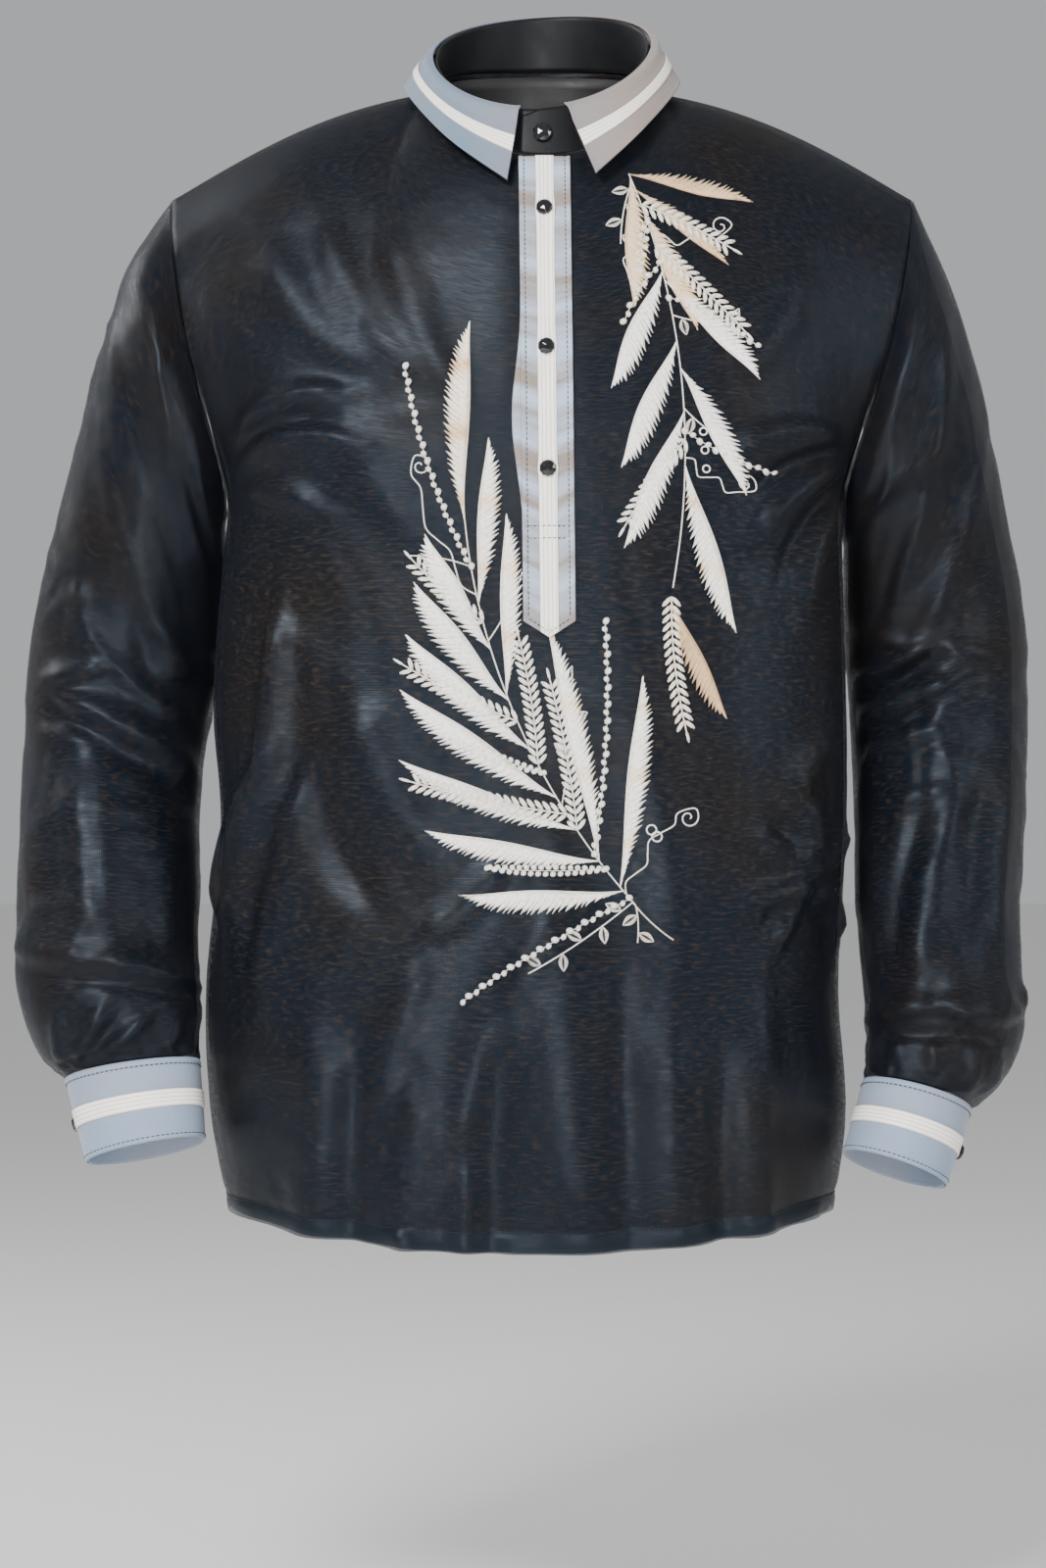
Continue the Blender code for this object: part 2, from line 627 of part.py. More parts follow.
def make_panel(name, front, grid, wall, finish, shirt, lining=False, slit=None):
    """Front or back panel of the shell or the lining."""
    def place(across, up):
        u = 2 * across - 1 if front else 1 - 2 * across
        v = up
        if lining:
            v = LINING_SHORTER + (LINING_TOP - LINING_SHORTER) * up
            deeper = 0 if front else LINING_BACK_DEEPER * ease((v - ARMPIT_SHARE) * 4)
            point = form_point(front, u, v) - form_normal(front, u, v) * (LINING_INSET + deeper)
        else:
            point = body_point(front, u, v)
        apart = SEAM_GAP / 2 + SHOULDER_SEAM_CLEAR * ease((v - ARMPIT_SHARE) / (1 - ARMPIT_SHARE))
        point.y += -apart if front else apart
        return point
    return add_cloth(name, grid, place, wall, finish, shirt, slit=slit)


def make_body(shirt):
    """Front, back and their linings."""
    slit = 1 - (PLACKET_ROWS - 1) / BODY_GRID[1]
    make_panel("body_front", True, BODY_GRID, WALL, ORGANZA, shirt, slit=slit)
    make_panel("body_back", False, BODY_GRID, WALL, ORGANZA, shirt)
    make_panel("lining_front", True, BODY_LINING_GRID, LINING_WALL, LINING, shirt, lining=True)
    make_panel("lining_back", False, BODY_LINING_GRID, LINING_WALL, LINING, shirt, lining=True)


def make_sleeves(shirt):
    """Both sleeves and their linings."""
    for word, side in (("right", -1), ("left", 1)):
        def shell(around, down, side=side):
            return sleeve_surface(side, around * side, 1 - down)

        def lining(around, down, side=side):
            first, last = SLEEVE_LINING_SPAN
            along = last + (first - last) * down
            inset = LINING_INSET * (1 - SLEEVE_LINING_CLOSER * ease((along - 0.8) * 6))
            normal = sleeve_normal(side, around * side, along)
            return sleeve_point(side, around * side, along) - normal * inset

        add_cloth("sleeve_" + word, SLEEVE_GRID, shell, WALL, ORGANZA, shirt, closed=True)
        name = "lining_sleeve_" + word
        add_cloth(name, SLEEVE_LINING_GRID, lining, LINING_WALL, LINING, shirt, closed=True)


def make_collar(shirt):
    """Stand, fall, under-collar and ribbon."""
    low, high = RIBBON_ON_FALL
    ribbon_lift = (TRIM_WALL + RIBBON_WALL) / 2 + LAYER_GAP
    under_lift = -(TRIM_WALL + LAYER_GAP) * UNDER_COLLAR_SLACK

    def fall(around, up):
        return fall_point(around, 1 - up)

    def under(around, up):
        return fall_point(around, (3 - 2 * up) / 3, under_lift)

    def ribbon(around, up):
        return fall_point(around, high + (low - high) * up, ribbon_lift)

    add_cloth("collar_stand", STAND_GRID, stand_point, TRIM_WALL, BLACK_CLOTH, shirt)
    add_cloth("collar_fall", FALL_GRID, fall, TRIM_WALL, GREY_CLOTH, shirt)
    add_cloth("collar_under", UNDER_COLLAR_GRID, under, TRIM_WALL, BLACK_CLOTH, shirt)
    add_cloth("collar_ribbon", RIBBON_GRID, ribbon, RIBBON_WALL, RIBBON, shirt)


def make_cuffs(shirt):
    """Both cuffs and their ribbons."""
    low, high = CUFF_RIBBON_SPAN
    lift = (TRIM_WALL + RIBBON_WALL) / 2 + LAYER_GAP
    for word, side in (("right", -1), ("left", 1)):
        def cuff(around, up, side=side):
            return cuff_point(side, around, 1 - up)

        def ribbon(around, up, side=side):
            share = around * CUFF_RIBBON_COLUMNS / CUFF_COLUMNS
            return cuff_point(side, share, high + (low - high) * up, lift)

        add_cloth("cuff_" + word, (CUFF_COLUMNS, 1), cuff, TRIM_WALL, GREY_CLOTH, shirt)
        name = "cuff_ribbon_" + word
        add_cloth(name, (CUFF_RIBBON_COLUMNS, 1), ribbon, RIBBON_WALL, RIBBON, shirt)


def make_placket(shirt):
    """Under placket, upper placket and its ribbon, lying on the front."""
    under_lift = (WALL + TRIM_WALL) / 2 + PLACKET_CLEAR
    upper_lift = under_lift + TRIM_WALL + LAYER_GAP
    ribbon_lift = upper_lift + (TRIM_WALL + RIBBON_WALL) / 2 + LAYER_GAP

    def under(across, up):
        return under_strip_point(2 * across - 1, 1 - up, under_lift)

    def upper(across, up):
        return strip_point(2 * across - 1, 1 - up, PLACKET_WIDTH, upper_lift)

    def ribbon(across, up):
        return strip_point(2 * across - 1, 1 - up, RIBBON_WIDTH, ribbon_lift)

    rows = PLACKET_ROWS + 1
    add_cloth("placket_under", (2, PLACKET_ROWS), under, TRIM_WALL, GREY_CLOTH, shirt)
    add_cloth("placket_upper", (2, rows), upper, TRIM_WALL, GREY_CLOTH, shirt)
    add_cloth("placket_ribbon", (2, rows), ribbon, RIBBON_WALL, RIBBON, shirt)
    return ribbon_lift + RIBBON_WALL / 2 + LAYER_GAP


def make_button(name, radius, place, direction, shirt):
    """Domed button turned about its own axis, standing on place."""
    height = BUTTON_HEIGHT * radius / SMALL_BUTTON
    profile = (
        (0.0, 0.0),
        (radius * 0.80, 0.0),
        (radius, height * 0.30),
        (radius * 0.93, height * 0.60),
        (radius * 0.55, height * 0.93),
        (0.0, height),
    )
    bm = bmesh.new()
    verts = [bm.verts.new((r, 0, z)) for r, z in profile]
    for low, high in zip(verts, verts[1:]):
        bm.edges.new((low, high))
    mesh = bpy.data.meshes.new(name)
    bm.to_mesh(mesh)
    bm.free()
    item = add_object(name, mesh, BUTTON, shirt)
    item.location = place
    item.rotation_euler = direction.to_track_quat("Z", "Y").to_euler()
    turn = item.modifiers.new("Turn", "SCREW")
    turn.axis = "Z"
    turn.steps = BUTTON_SIDES
    turn.render_steps = BUTTON_SIDES
    turn.use_merge_vertices = True
    turn.merge_threshold = 0.00001
    turn.use_normal_calculate = True
    return item


def make_buttons(shirt, placket_lift):
    """Collar, placket and cuff buttons."""
    for number, z in enumerate(PLACKET_BUTTONS, 1):
        x = placket_x(z)
        place = front_at(x, z, placket_lift)
        out = (front_at(x, z, 0.02) - front_at(x, z)).normalized()
        make_button("button_placket_" + str(number), SMALL_BUTTON, place, out, shirt)
    tab = 1 - STAND_OVERLAP / (360 + 2 * STAND_OVERLAP)
    low, high = stand_point(tab, 0.0), stand_point(tab, 1.0)
    up = (high - low).normalized()
    out = Vector((1, 0, 0)).cross(up)
    place = low.lerp(high, COLLAR_BUTTON_UP) + out * (TRIM_WALL / 2 + LAYER_GAP)
    make_button("button_collar", COLLAR_BUTTON, place, out, shirt)
    for word, side in (("right", -1), ("left", 1)):
        middle = cuff_point(side, CUFF_BUTTON_AT, 0.5)
        out = (cuff_point(side, CUFF_BUTTON_AT, 0.5, 0.02) - middle).normalized()
        lift = TRIM_WALL + RIBBON_WALL + 2 * LAYER_GAP + CUFF_BUTTON_CLEAR
        place = middle + out * lift
        make_button("button_cuff_" + word, SMALL_BUTTON, place, out, shirt)


def main():
    """Builds the shirt."""
    clear_scene()
    shirt = bpy.data.collections.new("barong_shirt")
    bpy.context.scene.collection.children.link(shirt)
    make_body(shirt)
    make_sleeves(shirt)
    make_collar(shirt)
    make_cuffs(shirt)
    placket_lift = make_placket(shirt)
    make_buttons(shirt, placket_lift)


main()
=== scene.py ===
"""A long-sleeved barong shirt in sheer black organza over a black lining.

The shirt is filled out as if worn. Collar, placket and cuffs are grey with flat cream ribbon,
and two sprays of white, cream and beige needlework lie on the front. Lengths are in metres,
+X is the wearer's left, -Y the front and +Z up, from the middle of the neck's base.
"""
import logging
import math
from dataclasses import dataclass, field
from enum import Enum
from typing import Callable, NamedTuple, Sequence

import bmesh
import bpy
import numpy as np
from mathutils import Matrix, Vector
from mathutils.bvhtree import BVHTree


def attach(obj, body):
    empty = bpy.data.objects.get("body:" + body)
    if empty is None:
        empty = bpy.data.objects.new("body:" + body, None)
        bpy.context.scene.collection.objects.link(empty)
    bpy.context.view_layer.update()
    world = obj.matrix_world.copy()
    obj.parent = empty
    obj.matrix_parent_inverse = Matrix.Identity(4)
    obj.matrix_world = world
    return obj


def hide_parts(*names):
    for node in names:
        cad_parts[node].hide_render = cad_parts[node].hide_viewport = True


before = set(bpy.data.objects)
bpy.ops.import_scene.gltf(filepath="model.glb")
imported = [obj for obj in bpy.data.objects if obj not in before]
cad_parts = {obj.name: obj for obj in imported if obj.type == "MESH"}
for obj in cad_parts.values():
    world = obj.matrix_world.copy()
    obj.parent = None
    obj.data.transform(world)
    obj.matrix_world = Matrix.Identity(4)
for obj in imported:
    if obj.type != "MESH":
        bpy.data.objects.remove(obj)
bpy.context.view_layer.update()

log = logging.getLogger("barong")
Array = np.ndarray
Place = Callable[[Array, Array], Array]

MM = 0.001
ORGANZA_WALL = 0.0005
LINING_WALL = 0.0005
TRIM_WALL = 0.0009
RIBBON_WALL = 0.0006
BOXINESS = 2.4          # superellipse power of the body's level sections
ARMPIT_SHARE = 9 / 17   # share of a panel's rows that lie below the armpit
NECK_SHARE = 0.40       # share of a panel's half width that ends at the neckline
NECK_HALF = (0.079, 0.074)      # half width and half depth of the neck seam
FOLD_HALF = (0.0720, 0.0680)    # and of the collar's top fold
NECK_Y = 0.004
STAND_LAP = 11.25       # degrees that each end of the stand passes the centre front
CUFF_LAP = 0.10         # share of a turn by which the cuff's ends lap
SPIRAL = 0.0011         # half the distance between a band's lapped ends
BUTTON_GAP = 0.0004     # between a button and what it closes
STITCH_LIFT = 0.0003    # of stitches over the cloth
WAVES_PER_UNIT = 3.1416     # bands that a wave texture of scale 1 draws in a metre


class Side(Enum):
    """The wearer's right or left."""

    RIGHT = -1
    LEFT = 1

    @property
    def word(self) -> str:
        """Word used in the names of pieces."""
        return self.name.lower()


class Section(NamedTuple):
    """Level section of the body: height, then half sizes to each side."""

    height: float
    right: float
    left: float
    front: float
    back: float


class SleeveRing(NamedTuple):
    """Ring of a sleeve or cuff, on the +X side; pitch in degrees raises its front."""

    outer_x: float
    outer_z: float
    inner_x: float
    inner_z: float
    y: float
    half_depth: float
    pitch: float


class Crease(NamedTuple):
    """Soft ridge (height above 0) or trough on a flat chart; lean makes one side steeper."""

    x0: float
    z0: float
    x1: float
    z1: float
    bend: float
    width: float
    height: float
    lean: float = 0.0


def creases(unit_of_place: float, *rows: tuple[float, ...]) -> tuple[Crease, ...]:
    """Creases from plain rows, whose places have their own unit and whose sizes are in mm."""
    return tuple(Crease(*(value * unit_of_place for value in row[:4]),
                        *(value * MM for value in row[4:7]), *row[7:]) for row in rows)


BODY = (
    Section(-0.765, 0.213, 0.198, 0.126, 0.120),
    Section(-0.690, 0.226, 0.2070, 0.133, 0.126),
    Section(-0.600, 0.229, 0.2020, 0.136, 0.126),
    Section(-0.490, 0.219, 0.2070, 0.133, 0.117),
    Section(-0.395, 0.224, 0.2070, 0.128, 0.116),
    Section(-0.272, 0.214, 0.2035, 0.121, 0.112),
)
# Armhole seams from the shoulder tip to the armpit, as x, y, z
FRONT_ARMHOLE = (
    (0.253, 0.005, -0.057),
    (0.248, -0.030, -0.098),
    (0.237, -0.048, -0.155),
    (0.222, -0.050, -0.205),
    (0.209, -0.034, -0.248),
    (0.2075, 0.000, -0.272),
)
BACK_ARMHOLE = (
    (0.253, 0.005, -0.057),
    (0.248, 0.045, -0.095),
    (0.239, 0.068, -0.155),
    (0.227, 0.066, -0.205),
    (0.214, 0.040, -0.250),
    (0.2075, 0.000, -0.272),
)
SLEEVES = {
    Side.RIGHT: (
        SleeveRing(0.281, -0.100, 0.2170, -0.284, 0.008, 0.079, 0),
        SleeveRing(0.304, -0.165, 0.2180, -0.300, 0.020, 0.076, 0),
        SleeveRing(0.320, -0.225, 0.2190, -0.325, 0.030, 0.072, -3),
        SleeveRing(0.338, -0.290, 0.2205, -0.358, 0.038, 0.068, -3),
        SleeveRing(0.351, -0.352, 0.2235, -0.386, 0.040, 0.065, 2),
        SleeveRing(0.356, -0.410, 0.2300, -0.425, 0.035, 0.063, 8),
        SleeveRing(0.357, -0.470, 0.2360, -0.475, 0.020, 0.062, 14),
        SleeveRing(0.358, -0.530, 0.2350, -0.530, 0.000, 0.061, 15),
        SleeveRing(0.357, -0.575, 0.2350, -0.575, -0.017, 0.059, 15),
        SleeveRing(0.351, -0.610, 0.2325, -0.602, -0.031, 0.056, 14),
        SleeveRing(0.337, -0.641, 0.2315, -0.628, -0.042, 0.045, 13),
    ),
    Side.LEFT: (
        SleeveRing(0.272, -0.100, 0.2065, -0.284, 0.008, 0.079, 0),
        SleeveRing(0.296, -0.165, 0.2075, -0.300, 0.020, 0.076, 0),
        SleeveRing(0.310, -0.225, 0.2090, -0.325, 0.030, 0.072, -3),
        SleeveRing(0.324, -0.290, 0.2100, -0.356, 0.038, 0.068, -3),
        SleeveRing(0.335, -0.350, 0.2110, -0.385, 0.040, 0.065, 2),
        SleeveRing(0.336, -0.410, 0.2130, -0.425, 0.035, 0.064, 8),
        SleeveRing(0.334, -0.470, 0.2145, -0.475, 0.020, 0.063, 14),
        SleeveRing(0.328, -0.530, 0.2150, -0.526, 0.000, 0.062, 15),
        SleeveRing(0.325, -0.575, 0.2165, -0.569, -0.018, 0.061, 15),
        SleeveRing(0.325, -0.622, 0.2180, -0.606, -0.034, 0.058, 14),
        SleeveRing(0.309, -0.658, 0.2175, -0.636, -0.045, 0.049, 13),
    ),
}
CUFFS = {
    Side.RIGHT: (
        SleeveRing(0.3200, -0.6548, 0.2310, -0.6420, -0.050, 0.0340, 13),
        SleeveRing(0.3040, -0.7097, 0.2261, -0.6941, -0.064, 0.0345, 13),
    ),
    Side.LEFT: (
        SleeveRing(0.2875, -0.6749, 0.2158, -0.6551, -0.055, 0.0425, 13),
        SleeveRing(0.2691, -0.7250, 0.2009, -0.7020, -0.069, 0.0395, 13),
    ),
}
# Lower edge of the collar fall: degrees from the centre front, then x, y, z
FALL_EDGE = (
    (-11.25, -0.0235, -0.0885, -0.0545),
    (-48, -0.0650, -0.0660, -0.0220),
    (-90, -0.0940, 0.0040, 0.0215),
    (-135, -0.0700, 0.0680, 0.0310),
    (-180, 0.0000, 0.0940, 0.0345),
    (-225, 0.0700, 0.0680, 0.0320),
    (-270, 0.0940, 0.0040, 0.0240),
    (-312, 0.0660, -0.0660, -0.0190),
    (-348.75, 0.0355, -0.0905, -0.0500),
)

# Columns of the body's creases: x0, z0, x1, z1, bend, width, height in millimetres, and lean
FRONT_CREASES = creases(
    MM,
    # long ridge at the wearer's right side, steep on its outer side
    (-176, -335, -189, -462, -4, 14, 6, 0.45),
    (-186, -440, -216, -556, 6, 12, 7, 0.45),
    (-165, -350, -172, -470, -4, 10, -3),
    (-176, -480, -196, -575, 4, 9, -3.2),
    (-150, -440, -188, -600, 10, 14, 2.8, 0.2),
    # drape from the right armpit
    (-207, -222, -128, -196, -10, 11, 4.8, -0.3),
    (-206, -243, -118, -232, -12, 10, 4, -0.3),
    (-204, -262, -145, -276, -6, 10, 3),
    (-203, -232, -140, -214, -10, 6, -2.6),
    # soft pulls across the right chest
    (-190, -85, -105, -185, 12, 16, 2.6),
    (-150, -70, -80, -190, 10, 14, 2.4),
    (-105, -75, -50, -210, 8, 13, 2),
    (-135, -200, -70, -300, 10, 16, 2),
    # fan of pulls from the left armpit
    (204, -222, 120, -236, 8, 11, 4, 0.3),
    (205, -238, 140, -292, 6, 10, 4.6, 0.3),
    (204, -252, 172, -345, 6, 10, 4.6, 0.3),
    (203, -246, 156, -318, 4, 6, -2.8),
    (202, -230, 136, -262, 4, 6, -2.6),
    (175, -100, 120, -190, -10, 15, 2.4),
    # crumple that radiates at the left waist
    (182, -512, 142, -492, 3, 8, 4.2, 0.2),
    (182, -514, 205, -486, 2, 7, 3.6),
    (180, -518, 156, -566, 4, 8, 4.6, -0.3),
    (184, -520, 200, -562, -3, 7, 4),
    (180, -510, 174, -462, 3, 8, 3.6),
    (178, -516, 132, -534, -4, 7, 3.2),
    (170, -507, 152, -478, 0, 6, -2.8),
    (172, -528, 144, -552, 0, 6, -3),
    (190, -530, 190, -572, 0, 6, -2.6),
    (196, -420, 165, -470, 4, 9, 3),
    # long soft folds that run down to the hem
    (2, -500, 30, -780, 4, 30, 5.6),
    (52, -590, 60, -790, 3, 13, -2.6),
    (-46, -700, -50, -790, 3, 11, 3),
    (-125, -395, -75, -500, 10, 22, 4),
    (-155, -430, -110, -540, 8, 14, -3),
    (-85, -560, -22, -500, 6, 13, 3),
    (8, -540, -58, -715, 10, 16, 3),
    (-72, -560, -108, -680, 6, 14, 2.8),
    (-78, -640, -90, -790, 4, 18, 4.2, 0.2),
    (-150, -600, -158, -790, -4, 19, 4.4),
    (85, -600, 98, -790, 4, 18, 3.4),
    (146, -585, 150, -790, 4, 16, 4.2, -0.2),
    (60, -420, 88, -560, -6, 16, 2),
    (-28, -600, -32, -790, 2, 12, -2.6),
    (118, -640, 124, -790, 2, 10, -2.6),
    (-120, -620, -126, -790, 3, 11, -3),
)
BACK_CREASES = creases(
    MM,
    (-215, -225, -120, -180, 10, 12, 4.6, -0.3),
    (-212, -245, -110, -232, 10, 11, 4.2),
    (-208, -262, -135, -290, 6, 10, 3.6),
    (215, -220, 118, -184, -10, 12, 4.4, 0.3),
    (212, -244, 108, -240, -10, 11, 4),
    (206, -264, 140, -298, -6, 10, 3.6),
    (-150, -90, -90, -200, -10, 16, 2.8),
    (150, -95, 85, -205, 10, 16, 2.8),
    (-60, -55, -30, -190, -6, 18, 2),
    (65, -55, 40, -180, 6, 18, 2),
    (-170, -440, -80, -490, 8, 12, 4.2, 0.2),
    (-190, -500, -110, -525, 8, 10, 4),
    (175, -450, 70, -500, -8, 12, 4.2, -0.2),
    (185, -505, 100, -535, -8, 10, 3.6),
    (-70, -400, -94, -790, 8, 22, 5.6, 0.2),
    (18, -440, 28, -790, 6, 24, 4.8),
    (105, -410, 120, -790, -6, 22, 5.6, -0.2),
    (-150, -560, -162, -790, 4, 16, 4.4),
    (165, -580, 160, -790, 4, 15, 4),
    (-25, -520, -35, -790, 3, 12, -3.2),
    (68, -520, 74, -790, 3, 12, -3.2),
)
# Sleeve creases: x is the percentage of a turn from the outer line to the front, z that
# of the way from cap to cuff; bend, width and height are in millimetres
SLEEVE_CREASES = {
    Side.RIGHT: creases(
        0.01,
        (5, 11, 36, 35, 10, 12, 4.8, 0.3),
        (18, 6, 41, 26, 8, 10, 4, 0.2),
        (10, 20, 38, 42, 8, 11, 4.2, 0.2),
        (12, 15, 34, 33, 6, 6, -2.6),
        (30, 5, 44, 20, 6, 9, 3.4),
        # folds that meet in a nose at the elbow and fall away from it to the inner side
        (16, 34, 23.5, 43, -6, 11, 5, 0.3),
        (24, 43.5, 12, 46.5, 4, 10, 6.8, 0.3),
        (12, 47.2, 49, 56, -4, 11, 8, -0.4),
        (15, 50, 48, 59, -4, 9, -6),
        (24, 43, 40, 50, -4, 9, 5, -0.3),
        (29, 34, 36, 45, 6, 14, 4),
        (26, 35, 30, 44, 4, 8, -3.6),
        (10, 52, 30, 53, -3, 7, 2.6),
        (26, 57.5, 47, 56, 3, 6, 2.2),
        (20, 60.5, 44, 60, -3, 6, 2.2),
        (22, 64, 48, 62.5, 3, 6, 1.8),
        # long soft swell of the forearm
        (21.5, 54, 27.5, 77, -4, 24, 7, 0.1),
        (23, 56, 26.2, 74, -3, 6, -1.6),
        (15.5, 60, 18.5, 74, 0, 12, -3),
        (35, 60, 38, 75, 4, 12, 3.4),
        (9, 60, 12, 72, -3, 10, 2.8),
        # the cloth hangs over itself in a slanting fold, with pulls below it to the cuff
        (2, 73, 25, 78.5, -6, 18, 5.5, -0.55),
        (22, 78.3, 50, 81.2, -6, 18, 6.5, -0.55),
        (14, 80, 46, 84.5, -4, 8, -3),
        (7, 96.5, 15, 85, -3, 9, 5.2, 0.2),
        (12, 97, 25, 85, -3, 9, 6, 0.2),
        (19, 97, 33, 87, -2, 8, 5.2, 0.2),
        (15.5, 96, 27, 87.5, -2, 6, -3.6),
        (36, 96.5, 40, 87, 0, 8, 4.4),
        (45, 96, 46, 86, 0, 8, 4.4),
        # hidden half
        (58, 8, 80, 30, -8, 12, 4.2),
        (66, 5, 92, 22, -8, 11, 4),
        (55, 41, 80, 44, 6, 12, 5.6, 0.3),
        (62, 47, 90, 46, 6, 11, 5.6, 0.3),
        (56, 53, 78, 52, 4, 10, 4.4),
        (62, 60, 66, 80, 4, 13, 4.4),
        (78, 58, 84, 79, 4, 12, 4.4),
        (56, 83, 92, 82, 6, 9, 5.6, 0.5),
        (62, 87, 60, 94, 0, 8, 3.8),
        (78, 87, 76, 94, 0, 8, 3.8),
    ),
    Side.LEFT: creases(
        0.01,
        (40, 6, 18, 20, 12, 10, 4.2, 0.2),
        (42, 14, 22, 22, -10, 10, 4.6, 0.3),
        (30, 12, 38, 26, 10, 9, 4),
        (10, 10, 34, 33, 10, 12, 4.4, 0.2),
        (6, 22, 32, 41, 8, 12, 4, 0.2),
        (24, 20, 40, 36, 6, 7, -2.8),
        (44, 30, 30, 40, 4, 9, 3.6),
        # short folds from the inner side of the elbow
        (47, 43, 25, 39.5, 5, 10, 6.2, 0.3),
        (46, 45.5, 27, 42.5, 4, 7, -4.8),
        (46, 48.5, 22, 45.5, 4, 10, 6.2, 0.3),
        (45, 51, 26, 48.5, 3, 7, -5),
        (44, 54, 24, 52, -3, 9, 5, 0.3),
        (42, 59, 24, 58.5, 3, 7, 2.6),
        (27, 40, 14, 44, 4, 9, 3.8),
        (25, 47, 10, 49, 4, 9, 3.2),
        # long winding swell of the forearm
        (22.5, 40, 26.5, 52, 4, 13, 4.2, 0.2),
        (27, 52, 24.5, 64, -5, 13, 4.6, -0.2),
        (25, 62, 31.5, 82, 4, 14, 5),
        (30, 60, 36.5, 79, 4, 9, -3),
        (17.5, 56, 20.5, 76, 3, 10, -3),
        (11, 54, 14, 76, 3, 12, 3.6),
        (40, 64, 42, 80, 0, 10, 3),
        # the cloth hangs over itself in a slanting fold with a small hook at its outer end
        (52, 86.5, 27, 84.5, 5, 12, 7, 0.5),
        (29, 84.8, 6, 82, 6, 13, 7.8, 0.5),
        (46, 89.5, 10, 86, 5, 8, -4.4),
        (6, 81.5, 3, 79, -4, 8, 5),
        (5, 97, 12, 88, 2, 9, 5),
        (13, 97, 19, 88, 2, 8, 4.6),
        (24, 97, 27, 89, 0, 8, 4.6),
        (33, 97, 35, 90, 0, 8, 4.2),
        (44, 96.5, 42, 89, 0, 8, 4),
        # hidden half
        (60, 8, 82, 28, -8, 12, 4.4),
        (68, 5, 94, 24, -8, 11, 3.8),
        (56, 42, 82, 43, 6, 12, 5.6, 0.3),
        (60, 48, 92, 47, 6, 11, 5.6, 0.3),
        (58, 54, 80, 52, 4, 10, 4.4),
        (60, 60, 65, 80, 4, 13, 4.4),
        (76, 58, 83, 79, 4, 12, 4.4),
        (56, 83, 94, 81, 6, 9, 5.6, -0.5),
        (64, 87, 62, 94, 0, 8, 3.8),
        (80, 87, 78, 94, 0, 8, 3.8),
    ),
}


# ------------------------------------------------------------------ numbers

def ease(value: Array | float) -> Array:
    """Smooth step from 0 to 1."""
    t = np.clip(value, 0.0, 1.0)
    return t * t * (3 - 2 * t)


def unit(vectors: Array) -> Array:
    """Vectors scaled to length 1 along the last axis."""
    return vectors / np.maximum(np.linalg.norm(vectors, axis=-1, keepdims=True), 1e-12)


def column(values: Array) -> Array:
    """Values with one more axis, to scale vectors."""
    return np.asarray(values)[..., None]


def stack(x: Array, y: Array, z: Array) -> Array:
    """Points from their coordinates."""
    return np.stack(np.broadcast_arrays(x, y, z), axis=-1).astype(float)


def through(rows: Sequence[Sequence[float]], place: Array) -> Array:
    """Points of the smooth curve through a table's rows.

    Args:
        rows: the table, one row for each stop.
        place: where to read it, from 0 to the number of rows less 1.

    Returns:
        One row of values for each place.
    """
    table = np.asarray(rows, dtype=float)
    last = len(table) - 1
    i = np.clip(np.floor(place).astype(int), 0, last - 1)
    t = column(place - i)
    a, b, c, d = table[np.maximum(i - 1, 0)], table[i], table[i + 1], table[np.minimum(i + 2, last)]
    return b + 0.5 * ((c - a) * t + (2 * a - 5 * b + 4 * c - d) * t ** 2
                      + (3 * b - a - 3 * c + d) * t ** 3)


def lattice(ix: Array, iz: Array, seed: int) -> Array:
    """Fixed scattered values from 0 to 1 on whole-number places."""
    h = (ix * 374761393 + iz * 668265263 + seed * 982451653) & 0xFFFFFFFF
    h = ((h ^ (h >> 13)) * 1274126177) & 0xFFFFFFFF
    return (h ^ (h >> 16)) / 4294967296.0


def ripple(x: Array, z: Array, seed: int, turn: float = 0.0) -> Array:
    """Smooth scattered waves about one unit long, from -1 to 1.

    Args:
        x: first coordinate, in wave lengths.
        z: second coordinate, in wave lengths.
        seed: choice of pattern.
        turn: if above 0, the pattern repeats in x after that many units.

    Returns:
        The height at each point.
    """
    ix, iz = np.floor(x).astype(np.int64), np.floor(z).astype(np.int64)
    fx, fz = ease(x - ix), ease(z - iz)
    jx = ix + 1
    if turn:
        ix, jx = ix % int(turn), jx % int(turn)
    low = lattice(ix, iz, seed) * (1 - fx) + lattice(jx, iz, seed) * fx
    high = lattice(ix, iz + 1, seed) * (1 - fx) + lattice(jx, iz + 1, seed) * fx
    return 2 * (low * (1 - fz) + high * fz) - 1


def crumple(x: Array, z: Array, size: float, seed: int, girth: float = 0.0) -> Array:
    """Thin ridges between flatter hollows, as stiff crisp cloth makes.

    Args:
        x: distance across, in metres.
        z: distance along, in metres.
        size: spacing of the ridges, in metres.
        seed: choice of pattern.
        girth: if above 0, the pattern repeats in x after that length.

    Returns:
        Height from about -0.6 to 0.6.
    """
    turns = round(girth / size) if girth else 0
    across = x / (girth / turns if turns else size)
    along = z / size
    warp_a = ripple(across * 0.5, along * 0.5, seed + 1, turns / 2 if turns % 2 == 0 else 0)
    warp_b = ripple(across, along * 0.7, seed + 2, turns)
    wave = ripple(across + 0.9 * warp_b, along + 0.9 * warp_a * (turns % 2 == 0), seed, turns)
    return 0.6 - 1.5 * np.sqrt(wave * wave + 0.01)


